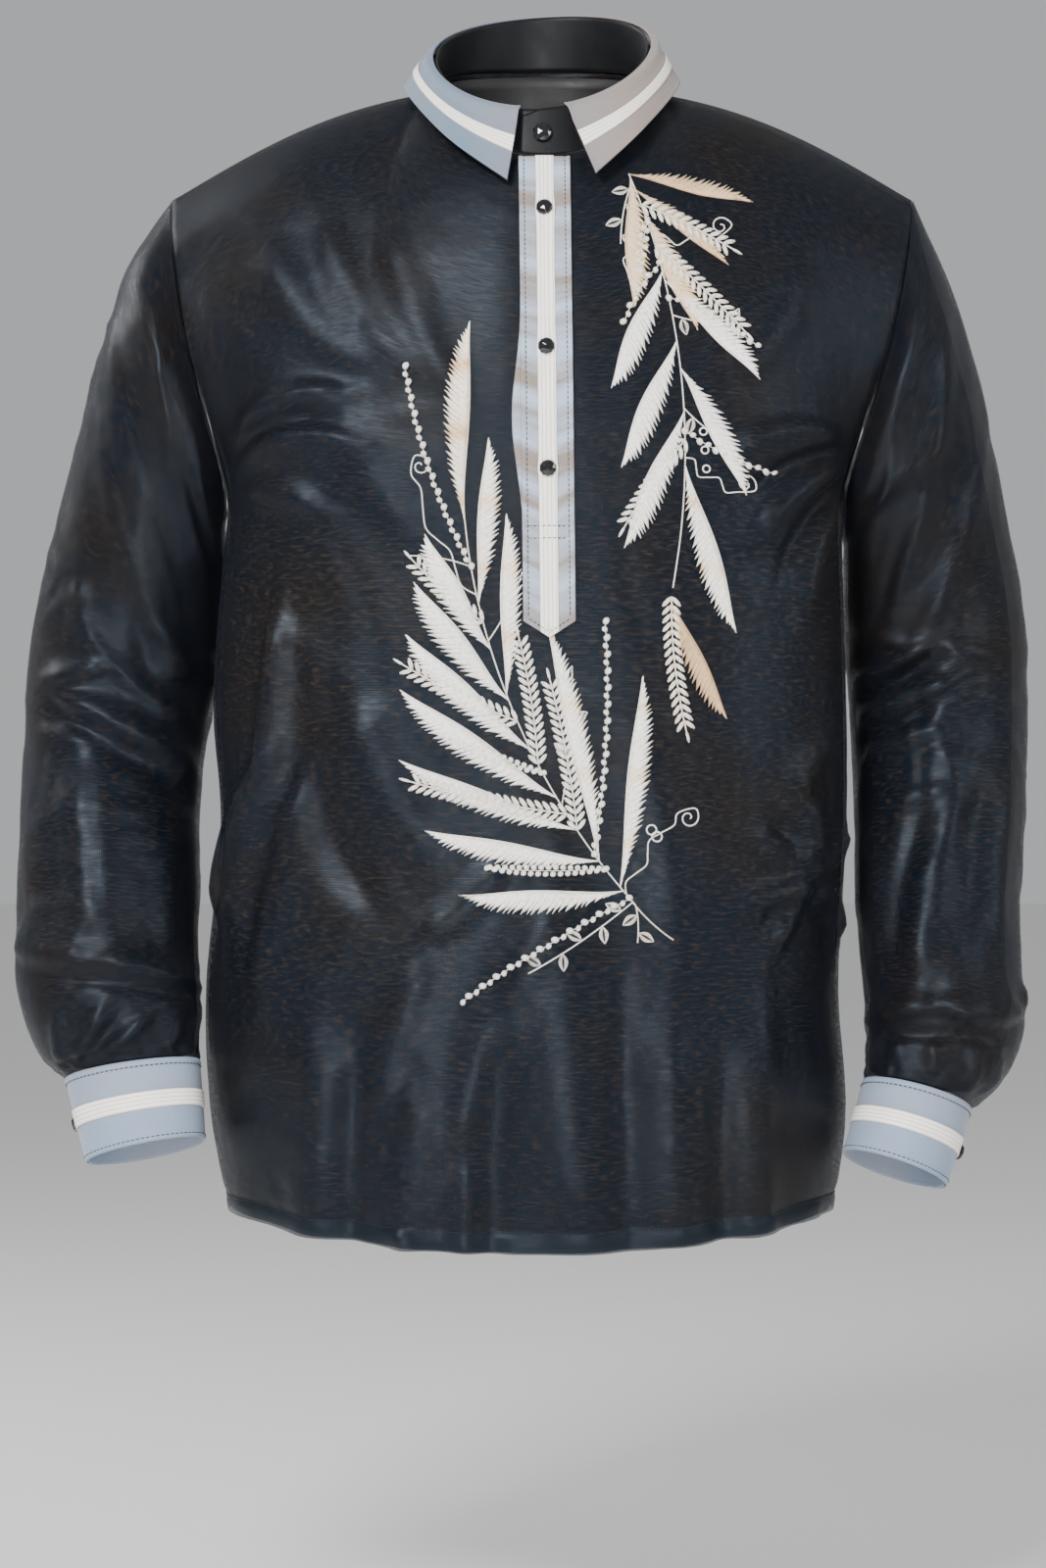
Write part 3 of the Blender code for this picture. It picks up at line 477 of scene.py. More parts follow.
def creased(x: Array, z: Array, table: Sequence[Crease], scale: tuple[float, float] = (1, 1)) -> Array:
    """Height of listed creases over points of a chart.

    Args:
        x: distance across the chart, in metres.
        z: distance along the chart, in metres.
        table: the creases.
        scale: metres for one unit of the creases' x and z.

    Returns:
        The height at each point, in metres.
    """
    total = np.zeros_like(x)
    for fold in table:
        start = np.array((fold.x0 * scale[0], fold.z0 * scale[1]))
        run = np.array((fold.x1 * scale[0], fold.z1 * scale[1])) - start
        length = float(np.hypot(*run))
        ax, az = run / length
        t = ((x - start[0]) * ax + (z - start[1]) * az) / length
        inside = np.clip(t, 0, 1)
        off = (x - start[0]) * az - (z - start[1]) * ax - fold.bend * 4 * inside * (1 - inside)
        wide = fold.width * (0.6 + 0.4 * np.sin(math.pi * inside))
        wide = wide * np.where(off > 0, 1 - fold.lean, 1 + fold.lean)
        past = np.maximum(np.maximum(-t, t - 1), 0) * length / fold.width
        ends = 0.25 + 0.75 * ease(4 * inside) * ease(4 * (1 - inside))
        total += fold.height * ends * np.exp(-(off / wide) ** 2 - past ** 2)
    return total


def raised(points: Array, height: Array, front: bool = True) -> Array:
    """A grid of points moved along its own outward direction.

    Args:
        points: rows by columns of points, rows running up and columns to the right
            as seen from outside.
        height: how far each moves, in metres.
        front: False turns the direction round.

    Returns:
        The moved points.
    """
    normal = unit(np.cross(np.gradient(points, axis=1), np.gradient(points, axis=0)))
    return points + normal * column(height if front else -height)


# ------------------------------------------------------------------ the garment's form

def armhole(side: Array, front: bool, share: Array) -> Array:
    """Armhole seam; share 0 is the shoulder tip and 1 the armpit, side is -1 or 1."""
    rows = FRONT_ARMHOLE if front else BACK_ARMHOLE
    points = through(rows, share * (len(rows) - 1))
    half = np.where(side > 0, BODY[-1].left, BODY[-1].right)
    points[..., 0] *= side * (1 + (half / rows[-1][0] - 1) * share)
    return points


def neckline(turn: Array) -> Array:
    """Neck seam at a turn in radians from the centre front, positive to +X."""
    z = 0.0095 - 0.0390 * np.cos(turn) - 0.0065 * np.cos(2 * turn)
    return stack(NECK_HALF[0] * np.sin(turn), NECK_Y - NECK_HALF[1] * np.cos(turn), z)


def level_point(front: bool, u: Array, place: Array) -> Array:
    """Point of the level sections below the armpit."""
    height, right, left, depth_front, depth_back = np.moveaxis(through(BODY, place), -1, 0)
    rise = 0.010 * (1 - np.cos(math.pi * u)) * (1 - place / (len(BODY) - 1)) ** 2
    across = np.sin(u * math.pi / 2)
    depth = (1 - np.abs(across) ** BOXINESS).clip(0) ** (1 / BOXINESS)
    y = -depth_front * depth if front else depth_back * depth
    return stack(np.where(u > 0, left, right) * across, y, height + rise)


def top_edge(front: bool, u: Array) -> tuple[Array, Array]:
    """End of a panel's column at the neck or shoulder seam, and its direction there."""
    side, share = np.where(u >= 0, 1, -1), np.abs(u)
    turn = np.clip(share / NECK_SHARE, 0, 1)
    angle = math.pi / 2 * turn if front else math.pi - math.pi / 2 * turn
    middle = np.array((0.0, 0.50, 0.85)) if front else np.array((0.0, 0.25, 0.95))
    corner, shoulder = np.array((0.30, 0.70, 0.45)), np.array((0.0, 0.80, 0.22))
    at_neck = neckline(side * angle)
    along = np.clip((share - NECK_SHARE) / (1 - NECK_SHARE), 0, 1)
    tip = armhole(side, front, np.zeros_like(share))
    start = neckline(side * np.full_like(share, math.pi / 2))
    on_seam = start + (tip - start) * column(along)
    on_seam[..., 2] += 0.011 * np.sin(math.pi * along ** 0.9)
    neck = column(share <= NECK_SHARE)
    way = np.where(neck, middle + (corner - middle) * column(turn),
                   corner + (shoulder - corner) * column(ease(along * 1.4)))
    back = 1 if front else -1
    way = unit(way * np.stack((-side, np.full_like(side, back), np.ones_like(side)), -1))
    return np.where(neck, at_neck, on_seam), way


def chest_point(front: bool, u: Array, rise: Array) -> Array:
    """Point between the armpit's level and the top edge."""
    start = level_point(front, u, np.full_like(u, len(BODY) - 1.0))
    end, way = top_edge(front, u)
    length = np.linalg.norm(end - start, axis=-1)
    lift = start + stack(0 * length, 0 * length, 0.38 * length)
    reach = 0.30 if front else 0.30 + 0.12 * np.minimum(np.abs(u) / NECK_SHARE, 1.0)
    pull = end - way * column(reach * length)
    t, s = column(rise), column(1 - rise)
    return start * s ** 3 + lift * 3 * s * s * t + pull * 3 * s * t * t + end * t ** 3


def body_form(front: bool, u: Array, v: Array) -> Array:
    """Body without creases; u runs from -1 to 1 and v from the hem to the top edge."""
    low = level_point(front, u, np.clip(v / ARMPIT_SHARE, 0, 1) * (len(BODY) - 1))
    rise = np.clip((v - ARMPIT_SHARE) / (1 - ARMPIT_SHARE), 0, 1)
    side = np.where(u >= 0, 1.0, -1.0)
    slack = armhole(side, front, 1 - rise) - chest_point(front, side, rise)
    high = chest_point(front, u, rise) + slack * column(np.abs(u) ** 3)
    return np.where(column(v <= ARMPIT_SHARE), low, high)


def ring_points(row: SleeveRing, side: int, angle: Array) -> Array:
    """Points of one ring; angle 0 is its outer point, positive to the front."""
    tilt = math.radians(row.pitch)
    middle = np.array((side * (row.outer_x + row.inner_x) / 2, row.y, (row.outer_z + row.inner_z) / 2))
    out = np.array((side * (row.outer_x - row.inner_x) / 2, 0, (row.outer_z - row.inner_z) / 2))
    forward = np.array((0, -math.cos(tilt), math.sin(tilt))) * row.half_depth
    return middle + out * column(np.cos(angle)) + forward * column(np.sin(angle))


def cuff_axis(side: Side) -> Array:
    """Direction down a cuff."""
    top, bottom = (ring_points(row, side.value, np.array((0, math.pi))).mean(axis=0)
                   for row in CUFFS[side])
    return unit(bottom - top)


def sleeve_form(side: Side, around: Array, along: Array) -> Array:
    """Sleeve without creases; around is a share of a turn, along runs from cap to cuff."""
    angle = around * 2 * math.pi
    share = np.arccos(np.clip(np.cos(angle), -1, 1)) / math.pi
    way = np.full_like(share, float(side.value))
    seam = np.where(column(np.sin(angle) >= 0), armhole(way, True, share), armhole(way, False, share))
    seam[..., 0] += side.value * (0.0006 + 0.0008 * ease(share * 1.6 - 0.6))
    rings = [seam] + [ring_points(row, side.value, angle) for row in SLEEVES[side]]
    rings.append(ring_points(CUFFS[side][0], side.value, angle) - cuff_axis(side) * 0.0012)
    table = np.stack(rings)
    place = along * (len(rings) - 1)
    i = np.clip(np.floor(place).astype(int), 0, len(rings) - 2)
    t = column(place - i)
    at = np.indices(around.shape)
    a, b, c, d = (table[(np.clip(i + k, 0, len(rings) - 1), *at)] for k in (-1, 0, 1, 2))
    return b + 0.5 * ((c - a) * t + (2 * a - 5 * b + 4 * c - d) * t ** 2
                      + (3 * b - a - 3 * c + d) * t ** 3)


def collar_out(turn: Array) -> Array:
    """Level direction away from the neck."""
    return stack(np.sin(turn), -np.cos(turn), 0 * turn)


def fold_line(turn: Array) -> Array:
    """Top fold of the collar."""
    z = 0.0423 - 0.0415 * np.cos(turn) - 0.0038 * np.cos(2 * turn) + 0.005 * np.sin(turn)
    return stack(FOLD_HALF[0] * np.sin(turn), NECK_Y - FOLD_HALF[1] * np.cos(turn), z)


def stand_form(around: Array, up: Array) -> Array:
    """Collar stand, whose ends lap at the centre front; the last end lies outside."""
    sweep = 360 + 2 * STAND_LAP
    turn = np.radians(STAND_LAP - around * sweep)
    low = neckline(turn) + np.array((0, 0, 0.0010))
    high = fold_line(turn) - np.array((0, 0, TRIM_WALL / 2))
    end = np.minimum(around, 1 - around) * sweep
    up = up * (1 - 0.15 * (1 - ease(end / STAND_LAP)))
    lapped = 2 * around - 1
    apart = SPIRAL * lapped ** 4 * np.sign(lapped)
    return low + (high - low) * column(up) + collar_out(turn) * column(apart)


def fall_form(around: Array, down: Array, lift: float = 0.0) -> Array:
    """Collar fall, from the right point round the back to the left point."""
    row = through(FALL_EDGE, around * (len(FALL_EDGE) - 1))
    turn = np.radians(row[..., 0])
    out = collar_out(turn)
    start = fold_line(turn) + out * 0.0026 + np.array((0, 0, 0.0008))
    point = start + (row[..., 1:] - start) * column(down)
    point += out * column(0.0030 * ease(down / 0.10) * (1 - down) + lift)
    point[..., 2] += 0.0016 * np.sin(math.pi * np.minimum(down / 0.25, 1.0)) + lift * 0.5
    return point


def cuff_form(side: Side, around: Array, down: Array, lift: Array | float = 0.0) -> Array:
    """A cuff, lapped on its outer side towards the back."""
    turn = (around * (1 + CUFF_LAP) - CUFF_LAP) * 2 * math.pi
    top, bottom = (ring_points(row, side.value, turn) for row in CUFFS[side])
    middle_top, middle_bottom = (ring_points(row, side.value, np.array((0, math.pi))).mean(axis=0)
                                 for row in CUFFS[side])
    point = top + (bottom - top) * column(down)
    out = unit(point - (middle_top + (middle_bottom - middle_top) * column(down)))
    return point + out * column(SPIRAL * (1 - 2 * around) + lift)


# ------------------------------------------------------------------ making cloth

def sheet_of_cloth(name: str, columns: int, rows: int, place: Place, chart: tuple[float, float],
                   wall: float, closed: bool = False, slit: float = 0.0) -> bpy.types.Object:
    """Lays a flat grid of cloth on its form and gives it a wall.

    Args:
        name: name of the piece.
        columns: faces across.
        rows: faces up.
        place: takes across and up, both rows by columns from 0 to 1, and returns points.
        chart: width and height of the cut, in metres, kept in the UV map "cut".
        wall: thickness.
        closed: joins the two sides into a tube.
        slit: if above 0, the middle is cut open from the top down to this share of the height.

    Returns:
        The new object, with its place in its mesh.
    """
    bm = bmesh.new()
    bmesh.ops.create_grid(bm, x_segments=columns, y_segments=rows, size=0.5)
    cut = bm.loops.layers.uv.new("cut")
    for face in bm.faces:
        for loop in face.loops:
            co = loop.vert.co
            loop[cut].uv = ((co.x + 0.5) * chart[0], (co.y + 0.5) * chart[1])
    flat = np.array([vert.co[:2] for vert in bm.verts]) + 0.5
    i = np.rint(flat[:, 0] * columns).astype(int)
    j = np.rint(flat[:, 1] * rows).astype(int)
    across, up = np.meshgrid(np.arange(columns + 1) / columns, np.arange(rows + 1) / rows)
    points = place(across, up)[j, i]
    for vert, point in zip(bm.verts, points):
        vert.co = point
    if slit:
        middle = {v for v, a, b in zip(bm.verts, i, j) if 2 * a == columns and b >= slit * rows}
        bmesh.ops.split_edges(bm, edges=[e for e in bm.edges if set(e.verts) <= middle])
        for vert in bm.verts:
            if abs(vert.co.x) < 1e-5 and any(e.is_boundary for e in vert.link_edges):
                side = sum(face.calc_center_median().x for face in vert.link_faces)
                vert.co.x += math.copysign(0.0004, side)
    if closed:
        bmesh.ops.remove_doubles(bm, verts=bm.verts, dist=1e-6)
    return made(name, bm, wall)


def made(name: str, bm: bmesh.types.BMesh, wall: float = 0.0, smooth: bool = True) -> bpy.types.Object:
    """Turns a finished bmesh into a smooth object, with a wall if one is given."""
    mesh = bpy.data.meshes.new(name)
    bm.to_mesh(mesh)
    bm.free()
    if smooth:
        mesh.shade_smooth()
    piece = bpy.data.objects.new(name, mesh)
    bpy.context.scene.collection.objects.link(piece)
    if wall:
        solid = piece.modifiers.new("Wall", "SOLIDIFY")
        solid.thickness = wall
        solid.offset = 0
    return piece


def finish(piece: bpy.types.Object, material: bpy.types.Material,
           nodes: Sequence[str] = ()) -> bpy.types.Object:
    """Dresses a piece, hangs it on the shirt's body and lets it stand for its CAD nodes.

    Args:
        piece: the new object.
        material: its material.
        nodes: CAD nodes that it replaces.

    Returns:
        The piece.
    """
    piece.data.materials.append(material)
    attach(piece, "root")
    if nodes:
        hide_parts(*nodes)
    log.info("%s: %d faces", piece.name, len(piece.data.polygons))
    return piece


def tree_of(piece: bpy.types.Object) -> BVHTree:
    """Search tree over a piece's own mesh."""
    bm = bmesh.new()
    bm.from_mesh(piece.data)
    tree = BVHTree.FromBMesh(bm)
    bm.free()
    return tree


def cast(trees: Sequence[BVHTree], x: Array, z: Array) -> tuple[Array, Array]:
    """First points that level rays from the front meet on the cloth.

    Args:
        trees: the cloths, of which the frontmost counts.
        x: where the rays start across.
        z: their heights.

    Returns:
        The points, and the outward directions there.
    """
    points, normals = np.zeros((x.size, 3)), np.zeros((x.size, 3))
    ahead = Vector((0, 1, 0))
    for k, (a, b) in enumerate(zip(x.ravel(), z.ravel())):
        best = None
        for aside in (0.0, 0.0009, -0.0009):    # a ray may slip through the slit
            for tree in trees:
                where, out, _, far = tree.ray_cast(Vector((a + aside, -0.5, b)), ahead)
                if where is not None and (best is None or far < best[2]):
                    best = (where, out, far)
            if best is not None:
                break
        else:
            raise ValueError(f"nothing to lie on at {a:.3f}, {b:.3f}")
        points[k], normals[k] = best[0], best[1] if best[1].y < 0 else -best[1]
        points[k, 0] = a
    return points.reshape(*x.shape, 3), unit(normals).reshape(*x.shape, 3)


# ------------------------------------------------------------------ materials

def linear(colour: str) -> tuple[float, float, float, float]:
    """Linear colour of an sRGB hex value such as "#2a3138"."""
    parts = [int(colour[k:k + 2], 16) / 255 for k in (1, 3, 5)]
    return (*(c / 12.92 if c <= 0.04045 else ((c + 0.055) / 1.055) ** 2.4 for c in parts), 1.0)


def add_node(material: bpy.types.Material, kind: str, settings: dict | None = None,
             links: dict | None = None) -> bpy.types.Node:
    """Adds a node with its settings and links.

    Args:
        material: the material it goes into.
        kind: the node's type, without "ShaderNode".
        settings: properties, or values of inputs by name or number.
        links: what feeds each input, by name or number.

    Returns:
        The node.
    """
    node = material.node_tree.nodes.new("ShaderNode" + kind)
    set_up(material, node, settings or {}, links or {})
    return node


def set_up(material: bpy.types.Material, node: bpy.types.Node, settings: dict, links: dict) -> None:
    """Gives a node its settings and links."""
    for key, value in settings.items():
        if isinstance(key, str) and hasattr(node, key):
            setattr(node, key, value)
        else:
            node.inputs[key].default_value = value
    for key, source in links.items():
        material.node_tree.links.new(source, node.inputs[key])


def new_material(name: str) -> bpy.types.Material:
    """A material with nodes."""
    material = bpy.data.materials.new(name)
    material.use_nodes = True
    return material


def surfaced(material: bpy.types.Material, settings: dict, links: dict) -> bpy.types.Material:
    """The material, once its own shader has its settings and links."""
    set_up(material, material.node_tree.nodes["Principled BSDF"], settings, links)
    return material


def blended(material: bpy.types.Material, share: object, low: str, high: str) -> object:
    """Colour between two sRGB values by a share; returns the output."""
    mix = add_node(material, "Mix", {"data_type": "RGBA", 6: linear(low), 7: linear(high)}, {0: share})
    return mix.outputs[2]


def tinted(material: bpy.types.Material, share: object, under: object, colour: str) -> object:
    """An sRGB colour laid over another output by a share; returns the output."""
    mix = add_node(material, "Mix", {"data_type": "RGBA", 7: linear(colour)}, {0: share, 6: under})
    return mix.outputs[2]


def ranged(material: bpy.types.Material, share: object, low: float, high: float) -> object:
    """A share turned into a value from low to high; returns the output."""
    return add_node(material, "MapRange", {3: low, 4: high}, {0: share}).outputs[0]


def bumped(material: bpy.types.Material, height: object, strength: float, depth: float) -> object:
    """Normal of a relief; returns the output."""
    settings = {"Strength": strength, "Distance": depth}
    return add_node(material, "Bump", settings, {"Height": height}).outputs[0]


def cut_chart(material: bpy.types.Material) -> object:
    """Place on the cut, in metres; returns the output."""
    return add_node(material, "UVMap", {"uv_map": "cut"}).outputs[0]


def own_place(material: bpy.types.Material) -> object:
    """Place on the object, in metres; returns the output."""
    return add_node(material, "TexCoord").outputs["Object"]


def clouds(material: bpy.types.Material, where: object, size: float, low: float = 0.3,
           high: float = 0.7, detail: float = 3.0) -> object:
    """Soft patches of one size in metres, from 0 to 1; returns the output."""
    noise = add_node(material, "TexNoise", {"Scale": 1 / size, "Detail": detail}, {"Vector": where})
    spread = add_node(material, "MapRange", {1: low, 2: high}, {0: noise.outputs[0]})
    return spread.outputs[0]


@dataclass(frozen=True)
class Weave:
    """Plain weave of one cloth, read from the cut's own chart in metres."""

    thread: float         # spacing of the threads as drawn
    depth: float          # depth of its bump
    slub: float = 0.25    # unevenness of the threads

    def bump(self, material: bpy.types.Material, where: object) -> object:
        """Normal of crossing threads; returns the output."""
        rows = {"wave_type": "BANDS", "Scale": 1 / self.thread / WAVES_PER_UNIT,
                "Distortion": self.slub * 6, "Detail": 1.0, "Detail Scale": 0.6}
        warp = add_node(material, "TexWave", {**rows, "bands_direction": "X"}, {"Vector": where})
        weft = add_node(material, "TexWave", {**rows, "bands_direction": "Y"}, {"Vector": where})
        both = add_node(material, "Math", {"operation": "ADD"}, {0: warp.outputs[1], 1: weft.outputs[1]})
        return bumped(material, both.outputs[0], 0.6, self.depth)


@dataclass(frozen=True)
class SheerOrganza:
    """Silk organza, plain woven of fine hard-twisted yarn: sheer, crisp, with a dry lustre."""

    weave: Weave = Weave(1.3 * MM, 0.06 * MM)   # real threads are 0.3 mm apart, drawn coarser
    solid: float = 0.56       # how much each face of the thin wall hides
    cool: str = "#0b141f"
    warm: str = "#19130e"
    fleck: str = "#352c25"
    hem: str = "#161d25"

    def build(self) -> bpy.types.Material:
        """The finished material."""
        material = new_material("organza, silk, plain woven")
        chart, where = cut_chart(material), own_place(material)
        colour = blended(material, clouds(material, where, 0.10, 0.44, 0.76), self.cool, self.warm)
        # slubs of the weft: fine streaks along it, drawn coarser than their 0.3 mm
        weft = add_node(material, "Mapping", {"Scale": (0.22, 1, 1)}, {"Vector": chart}).outputs[0]
        slubs = clouds(material, weft, 1.5 * MM, 0.48, 0.72)
        colour = tinted(material, slubs, colour, self.fleck)
        mask = add_node(material, "Attribute", {"attribute_name": "hem"}).outputs[2]
        return surfaced(material, {
            "Alpha": self.solid,
            "Specular IOR Level": 0.24,
            "Specular Tint": linear("#cfe0f2"),
            "Sheen Weight": 0.03,
            "Sheen Roughness": 0.3,
            "Sheen Tint": linear("#a9c4e0"),
        }, {
            "Base Color": tinted(material, mask, colour, self.hem),
            "Roughness": ranged(material, clouds(material, weft, 2.4 * MM), 0.28, 0.47),
            "Normal": self.weave.bump(material, chart),
        })


@dataclass(frozen=True)
class PlainCloth:
    """Opaque plain-woven cloth whose two yarns give patches of two shades."""

    name: str
    first: str
    second: str
    patch: float              # size of its patches
    weave: Weave
    roughness: tuple[float, float] = (0.6, 0.75)
    sheen: float = 0.2
    crosswise: float = 1.0    # stretches the patches across the cut
    turn: float = 0.0         # over what width the second yarn comes to face the eye
    blur: float = 0.2         # softness of the patches' edges
    shine: float = 0.5

    def build(self) -> bpy.types.Material:
        """The finished material."""
        material = new_material(self.name)
        chart = cut_chart(material)
        where = add_node(material, "Mapping", {"Scale": (1 / self.crosswise, 1, 1)}, {"Vector": chart})
        patches = clouds(material, where.outputs[0], self.patch, 0.5 - self.blur, 0.5 + self.blur)
        if self.turn:
            along = add_node(material, "SeparateXYZ", links={0: own_place(material)}).outputs[0]
            shot = add_node(material, "MapRange", {1: -self.turn, 2: self.turn}, {0: along})
            mixed = add_node(material, "Mix", {"data_type": "FLOAT", 0: 0.72},
                             {2: patches, 3: shot.outputs[0]})
            patches = mixed.outputs[0]
        return surfaced(material, {"Sheen Weight": self.sheen, "Specular IOR Level": self.shine}, {
            "Base Color": blended(material, patches, self.first, self.second),
            "Roughness": ranged(material, clouds(material, chart, self.patch * 0.3), *self.roughness),
            "Normal": self.weave.bump(material, chart),
        })


@dataclass(frozen=True)
class CordedRibbon:
    """Cotton ribbon woven with a few fine cords along it, which show as lines where it turns; the grooves
    between the cords get painted shade.
    """

    cord: float = 2.8 * MM    # distance between its cords
    light: str = "#fffdf8"
    dark: str = "#fcf8ef"
    # painted shade in the grooves between the cords
    groove: str = "#cbbfa9"

    def build(self) -> bpy.types.Material:
        """The finished material."""
        material = new_material("ribbon, cotton, corded along its length")
        chart = cut_chart(material)
        rows = {"bands_direction": "X", "Scale": 1 / self.cord / WAVES_PER_UNIT}
        cords = add_node(material, "TexWave", rows, {"Vector": chart}).outputs[1]
        colour = blended(material, clouds(material, chart, 0.02), self.dark, self.light)
        # painted shade: the groove colour is laid along the low lines between the cords
        line = add_node(material, "MapRange", {1: 0.18, 2: 0.0}, {0: cords}).outputs[0]
        return surfaced(material, {}, {
            "Base Color": tinted(material, line, colour, self.groove),
            "Roughness": ranged(material, cords, 0.65, 0.45),
            "Normal": bumped(material, cords, 0.5, 0.15 * MM),
        })


@dataclass(frozen=True)
class SatinThread:
    """Rayon embroidery floss laid side by side: silky, shaded by the dye along each strand."""

    name: str = "embroidery thread, rayon floss"
    white: str = "#fdfdfb"
    cream: str = "#fdf3e4"
    beige: str = "#eccfa6"
    sand: str = "#c2986c"

    def build(self) -> bpy.types.Material:
        """The finished material."""
        material = new_material(self.name)
        shade = add_node(material, "Attribute", {"attribute_name": "shade"}).outputs[2]
        where = own_place(material)
        grain = add_node(material, "TexNoise", {"Scale": 900.0, "Detail": 2.0}, {"Vector": where})
        ramp = add_node(material, "ValToRGB", links={0: shade})
        colours = ramp.color_ramp
        colours.elements[0].color = linear(self.white)
        colours.elements[1].color = linear(self.sand)
        colours.elements.new(0.35).color = linear(self.cream)
        colours.elements.new(0.70).color = linear(self.beige)
        dull = add_node(material, "Mix",
                        {"data_type": "RGBA", "blend_type": "MULTIPLY", 7: linear("#e3dbd0")},
                        {0: clouds(material, where, 2 * MM, 0.45, 0.75), 6: ramp.outputs[0]})
        return surfaced(material, {"Sheen Weight": 0.3}, {
            "Base Color": dull.outputs[2],
            "Roughness": ranged(material, grain.outputs[0], 0.38, 0.55),
            "Normal": bumped(material, grain.outputs[0], 0.4, 0.1 * MM),
        })


@dataclass(frozen=True)
class SewingThread:
    """Spun polyester sewing thread, twisted, so that its stitches look dull and round."""

    name: str
    colour: str
    worn: str

    def build(self) -> bpy.types.Material:
        """The finished material."""
        material = new_material(self.name)
        grain = add_node(material, "TexNoise", {"Scale": 1200.0}, {"Vector": own_place(material)})
        twist = grain.outputs[0]
        return surfaced(material, {"Roughness": 0.7}, {
            "Base Color": blended(material, twist, self.colour, self.worn),
            "Normal": bumped(material, twist, 0.5, 0.1 * MM),
        })


@dataclass(frozen=True)
class PolishedBead:
    """Cast black polyester, ground into facets and polished, so it mirrors lights sharply."""

    name: str = "button, cast polyester, faceted and polished"
    colour: str = "#08080a"
    edge: str = "#15161a"     # where it has worn

    def build(self) -> bpy.types.Material:
        """The finished material."""
        material = new_material(self.name)
        worn = clouds(material, own_place(material), 2 * MM, 0.4, 0.7)
        return surfaced(material, {"Coat Weight": 0.6, "Coat Roughness": 0.04}, {
            "Base Color": blended(material, worn, self.colour, self.edge),
            "Roughness": ranged(material, worn, 0.05, 0.14),
        })


class Wardrobe:
    """Every material of the shirt, built once."""

    def __init__(self) -> None:
        """Builds them."""
        self.organza = SheerOrganza().build()
        self.lining = PlainCloth("lining, polyester taffeta, plain woven", "#0d0d0e", "#131315",
                                 0.05, Weave(1.2 * MM, 0.04 * MM), (0.5, 0.65)).build()
        # chambray: white and blue-grey yarns, woven plain, drawn coarser than their 0.4 mm
        self.chambray = PlainCloth("chambray, cotton and silk, plain woven", "#8096b2", "#8b8f99",
                                   0.045, Weave(1.1 * MM, 0.12 * MM), crosswise=2.5).build()
        # the same cloth turned over at the neck, where its warm yarn shows at one side
        self.shot = PlainCloth("chambray, cotton and silk, shot, plain woven", "#64798f", "#94857b",
                               0.035, Weave(1.1 * MM, 0.12 * MM), crosswise=2.0, turn=0.05).build()
        self.banded = PlainCloth("chambray, sheer, in two shades of weft", "#867b73", "#a9b8cc",
                                 0.020, Weave(1.0 * MM, 0.14 * MM), crosswise=8.0, blur=0.10).build()
        self.satin = PlainCloth("satin, black, warp faced", "#0a0b0d", "#111317", 0.04,
                                Weave(0.9 * MM, 0.02 * MM), (0.42, 0.55), 0.05, shine=0.2).build()
        self.ribbon = CordedRibbon().build()
        self.floss = SatinThread().build()
        thread = "sewing thread, spun polyester, "
        self.dark_thread = SewingThread(thread + "slate", "#262c35", "#3a414c").build()
        self.black_thread = SewingThread(thread + "black", "#08090a", "#17191c").build()
        self.button = PolishedBead().build()


# ------------------------------------------------------------------ body and sleeves

def wrapped(points: Array, height: Array) -> Array:
    """The same as raised, for a tube whose first and last columns are one."""
    wide = np.concatenate((points[:, -2:-1], points, points[:, 1:2]), axis=1)
    tall = np.concatenate((height[:, -2:-1], height, height[:, 1:2]), axis=1)
    return raised(wide, tall)[:, 1:-1]


def mark(piece: bpy.types.Object, name: str, value: Callable[[Array], Array]) -> None:
    """Keeps a value on each point, worked out from its place on the cut's chart."""
    mesh = piece.data
    chart = np.empty(len(mesh.loops) * 2)
    mesh.uv_layers["cut"].data.foreach_get("uv", chart)
    at = np.empty(len(mesh.loops), dtype=int)
    mesh.loops.foreach_get("vertex_index", at)
    kept = np.zeros(len(mesh.vertices))
    kept[at] = value(chart.reshape(-1, 2))
    mesh.attributes.new(name, "FLOAT", "POINT").data.foreach_set("value", kept)


